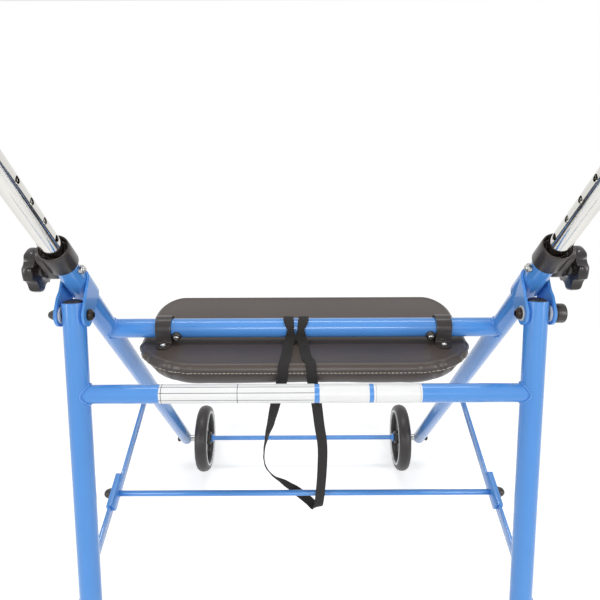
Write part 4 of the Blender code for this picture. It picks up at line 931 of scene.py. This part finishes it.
base_steps = [(14.0, 27, 27, 30, 0), (14.0, 17, 17, 13, 0), (13.9, 13, 12, 8.0, 0),
              (13.6, 10.8, 9.8, 5.8, 0.1), (13.5, 9.2, 8.2, 4.3, 0.2), (13.8, 7.8, 6.7, 3.2, 0.4),
              (14.7, 6.4, 5.2, 2.2, 0.7), (16.1, 5.0, 3.7, 1.3, 0.9), (17.8, 3.9, 2.5, 0.7, 1.0),
              (19.6, 3.2, 1.8, 0.4, 1.0), (21.2, 2.8, 1.6, 0.4, 1.0), (22.4, 2.9, 1.8, 0.6, 0.9),
              (23.2, 3.6, 2.6, 1.2, 0.7), (23.6, 5.0, 4.0, 3.0, 0.3), (23.7, 9, 8, 7, 0)]
points = []
for depth, near_in, side_in, far_in, gather in base_steps:
    outline = seat_outline(near_in / 1000, side_in / 1000, far_in / 1000)
    for x, along in outline:
        fold = 0.0007 * gather * pleat(x, along)
        pull = Vector((x, along)).normalized() * fold
        points.append(seat_point(x + pull.x, along + pull.y, depth / 1000 - fold * 0.8))
count = len(outline)
faces = [(row + i, row + (i + 1) % count, row + count + (i + 1) % count, row + count + i)
         for row in range(0, len(points) - count, count) for i in range(count)]
faces += [tuple(range(count)), tuple(range(len(points) - count, len(points)))]
panel = from_points("seat_board_cover", points, faces)
clean(panel, 60)
vinyl = finish_of(
    "grained_black_vinyl", "black_vinyl", (0.070, 0.053, 0.044), (0.087, 0.067, 0.056), 0.27, 0.42, 700,
    0.00006, patch_scale=9.0, grain_strength=0.55, Specular_IOR_Level=0.5)
fit(panel, vinyl, "seat", "seat_base")

# Seat pad. Foam under the same vinyl, below the board while the seat hangs and on top once it is
# flipped over: crowned, with sides that draw in to the seam. It is blown up as cloth, gently.
pad = bpy.data.objects.new("seat_foam_pad", frame["nodes"]["seat_pad"].data.copy())
scene.collection.objects.link(pad)
face_out(pad)
split, puffed, crown, frames = 0.0240, 0.0025, 0.044, 20


def on_seat(point):
    """A point's place from the seat bar: sideways, along the seat and down from it."""
    place = point.co - seat_bar
    return place.x, place.dot(seat_along), place.dot(seat_down)


for point in pad.data.vertices:
    x, along, depth = on_seat(point)
    point.co = seat_point(x * 0.992, (along - 0.0245) * 0.985 + 0.0250,
                          split + 0.0004 + (depth - split) * 0.95)
work(pad, "REMESH", mode="VOXEL", voxel_size=0.0045)
still = [point.co.copy() for point in pad.data.vertices]
hold(pad)
puff = pad.modifiers.new("puff", "CLOTH")
puff.settings.use_pressure = True
puff.settings.uniform_pressure_force = 4.0
puff.settings.effector_weights.gravity = 0.0
puff.settings.quality = 5
puff.point_cache.frame_start, puff.point_cache.frame_end = 1, frames
for number in range(1, frames + 1):
    scene.frame_set(number)
bpy.ops.object.modifier_apply(modifier="puff")
scene.frame_set(1)
for point, rest in zip(pad.data.vertices, still):
    moved = point.co - rest
    if moved.length > puffed:
        point.co = rest + moved.normalized() * puffed
    point.co += seat_down * max(split + 0.0003 - on_seat(point)[2], 0)
work(pad, "SMOOTH", factor=0.5, iterations=3)
work(pad, "SUBSURF", levels=1, render_levels=1)
for point in pad.data.vertices:
    x, along, depth = on_seat(point)
    if depth < crown:
        rim = Vector((x, along)).normalized() * (0.0009 * pleat(x, along) * (crown - depth) / 0.020)
        point.co += aside(rim.x) + seat_along * rim.y
smooth(pad, 80)
fit(pad, vinyl, "seat", "seat_pad")

# Seam thread. One row of pale lockstitches in the vinyl just above the seam, all round the seat.
thread = finish_of(
    "pale_seam_thread", "webbing", (0.60, 0.50, 0.34), (0.72, 0.66, 0.54), 0.4, 0.6, 2500, 0.00003,
    patch_scale=60)
seam = seat_outline(0.0028, 0.0017, 0.0005)
stitch = turned("seam_stitch", steps(0, (0.14, -1.5), (0.34, -1), (0.34, 1), (0.14, 1.5)), (0, 0, 0),
                (0, 0, 1), 6)
stitch_pitch = 0.0044
points, faces = [], []
walked = next_at = 0.0
for (x_a, y_a), (x_b, y_b) in zip(seam, seam[1:] + seam[:1]):
    step = math.hypot(x_b - x_a, y_b - y_a)
    while next_at <= walked + step and step > 0:
        share = (next_at - walked) / step
        x, along = x_a + (x_b - x_a) * share, y_a + (y_b - y_a) * share
        fold = 0.00065 * pleat(x, along)
        pull = Vector((x, along)).normalized() * (fold + 0.00012)
        heading = (aside(x_b - x_a) + seat_along * (y_b - y_a)).normalized()
        spot = seat_point(x + pull.x, along + pull.y, 0.0222 - fold * 0.8)
        tilt = Vector((0, 0, 1)).rotation_difference(heading)
        place = Matrix.Translation(spot) @ tilt.to_matrix().to_4x4()
        faces += [tuple(len(points) + corner for corner in polygon.vertices)
                  for polygon in stitch.data.polygons]
        points += [tuple(place @ point.co) for point in stitch.data.vertices]
        next_at += stitch_pitch
    walked += step
bpy.data.objects.remove(stitch)
stitches = from_points("seam_stitches", points, faces)
smooth(stitches, 60)
fit(stitches, thread, "seat")

# Seat clips. Black moulded saddles over the seat bar, each on a thin sleeve, with a rounded tab in
# front and behind that two bright rivets fix to the board.
clip_sheet, clip_width, clip_reach = 0.0018, 0.0175, 0.0265
clip_x = {-1: -0.1608, 1: 0.1587}
saddle = seat_bar_radius + 0.00155 + clip_sheet / 2
tab_depth = 0.0137 - clip_sheet / 2
fillet = 0.0022
half_path = [(out, tab_depth) for out in (clip_reach, 0.0240, 0.0215, 0.0190, saddle + fillet)]
half_path += [(saddle + fillet * (1 - math.sin(turn)), tab_depth - fillet * (1 - math.cos(turn)))
              for turn in quarter(5, 1, 5)]
half_path += [(saddle, 0.005)]
half_path += [(saddle * math.cos(turn), -saddle * math.sin(turn)) for turn in quarter(10, 0, 9)]
path = half_path + [(0.0, -saddle)] + [(-out, depth) for out, depth in half_path[::-1]]
rivet_head = steps(0, (3.4, 0), (3.4, 0.5), (3.1, 1), (2.4, 1.5), (1.4, 1.8), (0, 1.9))
sleeve_ring = steps(0, (11.25, -8.6), (11.25, 8.6), (12.2, 8.6), (12.2, -8.6), (11.25, -8.6))
for side, sign in SIDES:
    clip = started(f"bar_clip_{side}", bpy.ops.mesh.primitive_grid_add, x_subdivisions=16,
                   y_subdivisions=len(path) - 1, size=1)
    for point in clip.data.vertices:
        out, depth = path[round((point.co.y + 0.5) * (len(path) - 1))]
        wide = point.co.x * clip_width
        from_end = clip_reach - abs(out)
        if from_end < clip_width / 2 and depth > 0.012:
            allowed = math.sqrt(max((clip_width / 2) ** 2 - (clip_width / 2 - max(from_end, 0.0006)) ** 2, 0))
            wide = max(-allowed, min(allowed, wide))
        point.co = seat_point(clip_x[sign] + wide, out, depth)
    work(clip, "SOLIDIFY", thickness=clip_sheet, offset=0.0)
    face_out(clip)
    round_edges(clip, 0.0004, 2, 60)
    smooth(clip, 45)
    fit(clip, black_plastic, "seat", f"seat_clip_{side}")
    fit(turned(f"bar_sleeve_{side}", sleeve_ring, seat_bar + aside(clip_x[sign]), (1, 0, 0)), black_plastic,
        "seat_sleeves", f"clip_sleeve_{side}")
    for end, out in (("near", -0.0182), ("far", 0.0182)):
        at = seat_point(clip_x[sign], out, tab_depth - clip_sheet / 2)
        fit(turned(f"clip_rivet_{side}_{end}", rivet_head, at, -seat_down, 40), zinc_steel, "seat")

# Stop screws. Bright cross-headed screws in black domed collars, driven into the bar beside the
# clips so that the seat can't slide sideways.
turn = math.radians(191.0)
out = Vector((0, math.cos(turn), math.sin(turn)))
seat = seat_bar_radius - 0.0012
collar_steps = steps(seat, (5, 0), (5.3, 1.6), (5.5, 2.4), (5.4, 3.4), (5, 4.4), (4.5, 5.1), (4, 5.2),
                     (3.9, 4.5), (0, 4.5))
screw_steps = steps(seat, (3.4, 4.5), (3.6, 5.2), (3.4, 6), (2.7, 6.7), (1.7, 7.1), (0, 7.2))
for side, sign in SIDES:
    at = seat_bar + aside(clip_x[sign] - sign * 0.0147)
    fit(turned(f"stop_collar_{side}", collar_steps, at, out, 48), black_plastic, "front_frame",
        f"stop_screw_{side}")
    screw = turned(f"stop_screw_head_{side}", screw_steps, at, out, 48)
    for spin in (0.35, 0.35 + math.pi / 2):
        slot = started("slot", bpy.ops.mesh.primitive_cube_add, size=1)
        across = aside(1) * math.cos(spin) + aside(1).cross(out) * math.sin(spin)
        top = facing(at + out * (seat + 0.0072), across, out.cross(across), out)
        slot.matrix_world = top @ Matrix.Diagonal((0.0042, 0.0008, 0.0022, 1))
        settle(slot)
        cut_away(screw, slot)
    smooth(screw, 40)
    fit(screw, zinc_steel, "front_frame")

# Pull strap. One length of black ribbed webbing, hung over the seat bar by its lapped ends, down past
# the seat's near edge and round the fold rod. The part below the bar hangs in a half-turned loop.
strap_width, strap_thick = 0.0115, 0.0014
# Millimetres to the right, forwards and up from the fold's pivot, and which way the webbing lies flat.
strap_route = [
    (-18.2, 49.7, -80.8), (-21.2, 18.3, -74.9), (-22.3, 10.4, -73.2), (-23.0, 5.8, -73.4),
    (-23.4, 2.7, -75.1), (-23.7, 0.5, -78.4), (-24.2, -1.1, -85.2), (-32.0, -3.5, -119.0, 1, 0.25, 0),
    (-39.2, -4.0, -156.0, 0.75, 0.66, 0), (-45.0, -4.0, -183.0, 0.35, 0.94, 0),
    (-48.4, -4.0, -205.0, 0.05, 0.99, 0), (-48.8, -3.0, -226.0, -0.25, 0.97, 0),
    (-45.0, -1.5, -243.5, -0.5, 0.84, -0.15), (-36.0, 0.8, -262.0, -0.5, 0.8, -0.3),
    (-20.5, 3.5, -281.0, -0.1, 1, 0), (-5.0, 3.0, -298.5, 0.5, 0.72, 0.45),
    (7.5, -1.0, -310.0, 0.7, 0.6, 0.4), (14.0, -6.0, -313.5, 0.95, 0.3, 0.1),
    (17.6, -10.5, -304.5, 1, 0.1, 0), (18.8, -12.5, -290.0), (20.0, -12.5, -264.0), (21.0, -11.5, -229.0),
    (20.4, -11.0, -184.0), (16.3, -10.0, -150.0), (12.4, -8.0, -115.0), (7.3, -1.1, -85.2),
    (6.9, 0.5, -78.4), (6.6, 2.7, -75.1), (6.3, 5.8, -73.4), (5.7, 10.4, -73.2), (2.7, 18.3, -74.9),
    (-1.6, 49.7, -80.8)]


def over_bar(x, lap_x, lap, low_x):
    """The strap's way over the seat bar, with its lapped end and where it is gathered a little."""
    points = []
    radius = seat_bar_radius + 0.0009 + strap_thick / 2
    for degrees in range(-60, 191, 10):
        share = min(max((degrees + 60) / 60, 0), 1)
        turn = math.radians(degrees)
        drift = (low_x - x) * min(max((degrees - 95) / 55, 0), 1)
        points.append((seat_bar + aside(lap_x + (x - lap_x) * share + drift)
                       + Vector((0, math.cos(turn), math.sin(turn))) * (radius + lap * (1 - share)),
                       aside(1), 1 - 0.3 * max(1 - abs(degrees - 150) / 40, 0)))
    return points


route = over_bar(-0.0184, -0.0130, 0.0, -0.0157)
route += [(pivot + Vector((x, forward, up)) / 1000, Vector(wide or (1, 0, 0)), 1.0)
          for x, forward, up, *wide in strap_route]
route += over_bar(-0.0010, -0.0069, strap_thick + 0.0003, -0.0042)[::-1]


def curved(spots, share):
    """A point on the smooth curve between the middle two of four points, which minds their gaps."""
    knots = [0.0]
    for a, b in zip(spots, spots[1:]):
        knots.append(knots[-1] + max((b - a).length, 1e-6) ** 0.5)
    at = knots[1] + (knots[2] - knots[1]) * share

    def between(a, b, low, high):
        gap = knots[high] - knots[low]
        return a * ((knots[high] - at) / gap) + b * ((at - knots[low]) / gap)

    first = [between(a, b, i, i + 1) for i, (a, b) in enumerate(zip(spots, spots[1:]))]
    second = [between(first[i], first[i + 1], i, i + 2) for i in (0, 1)]
    return between(*second, 1, 2)


spots = [route[0][0] * 2 - route[1][0], *(spot for spot, wide, gather in route),
         route[-1][0] * 2 - route[-2][0]]
stations = []
for number, (start, end) in enumerate(zip(route, route[1:])):
    pieces = max(1, round((end[0] - start[0]).length / 0.003))
    for piece in range(pieces):
        share = piece / pieces
        eased = share * share * (3 - 2 * share)
        stations.append((curved(spots[number:number + 4], share), start[1].lerp(end[1], eased),
                         strap_width * (start[2] + (end[2] - start[2]) * eased)))
stations.append((route[-1][0], route[-1][1], strap_width * route[-1][2]))
strap_length = 0.0
points, faces, maps = [], [], []
wide_steps = 6
for number, (spot, wide, width) in enumerate(stations):
    before, after = stations[max(number - 1, 0)][0], stations[min(number + 1, len(stations) - 1)][0]
    strap_length += (spot - before).length
    heading = (after - before).normalized()
    flat = (wide - heading * wide.dot(heading)).normalized()
    for step in range(wide_steps + 1):
        points.append(tuple(spot + flat * (width * (step / wide_steps - 0.5))))
        maps.append((step / wide_steps, strap_length / strap_width))
for first in range(0, len(points) - wide_steps - 1, wide_steps + 1):
    faces += [(corner, corner + 1, corner + wide_steps + 2, corner + wide_steps + 1)
              for corner in range(first, first + wide_steps)]
strap = from_points("webbing_strap", points, faces)
layer = strap.data.uv_layers.new(name="UVMap")
for loop in strap.data.loops:
    layer.data[loop.index].uv = maps[loop.vertex_index]
work(strap, "SOLIDIFY", thickness=strap_thick * 0.8, offset=0.0, use_rim=True)
smooth(strap, 60)

webbing = finish_of(
    "black_webbing", "webbing", (0.032, 0.028, 0.026), (0.050, 0.044, 0.041), 0.75, 0.92, 1500, 0.00003,
    patch_scale=40)[0]
tree = webbing.node_tree
shader = tree.nodes["Principled BSDF"].inputs
uv = {"Vector": node(tree, "UVMap")["UV"]}
ribs = node(tree, "TexWave", {"Scale": 2.6, "Distortion": 0.4, "Detail Scale": 6.0}, uv, bands_direction="Y")
twill = node(tree, "TexWave", {"Scale": 6.0}, uv, bands_direction="DIAGONAL")
weave = node(tree, "Math", wires={0: ribs["Fac"], 1: twill["Fac"]}, operation="MULTIPLY")[0]
woven = node(tree, "Bump", {"Distance": 0.0003, "Strength": 0.9}, {"Height": weave})
# Where the weave's bump sinks, the colour is mixed towards near-black: painted shade in the grooves between the
# ribs.
weave_groove_shade = node(tree, "Mix", {"A": (0.012, 0.010, 0.009, 1)},
             {"Factor": weave, "B": tree.nodes["tint"].outputs["Result"]}, data_type="RGBA")
tree.links.new(weave_groove_shade["Result"], shader["Base Color"])
tree.links.new(woven["Normal"], shader["Normal"])
strap.data.materials.append(webbing)
# The strap is cut in two below the seat's near edge: its upper runs, and the rest below them. A
# blend bends a piece across one joint, so the strap is cut in two below the seat's near edge.
cut = Vector((0, stay_end.y, seat_bar.z - 0.046))
hold(strap)
bpy.ops.object.duplicate()
runs = bpy.context.object
runs.name = "webbing_strap_runs"
for piece, lower in ((strap, True), (runs, False)):
    pick(piece)
    bpy.ops.mesh.bisect(plane_co=cut, plane_no=(0, 0, 1), use_fill=True, clear_outer=lower,
                        clear_inner=not lower)
    done()
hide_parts("pull_strap")
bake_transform(runs)
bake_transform(strap)
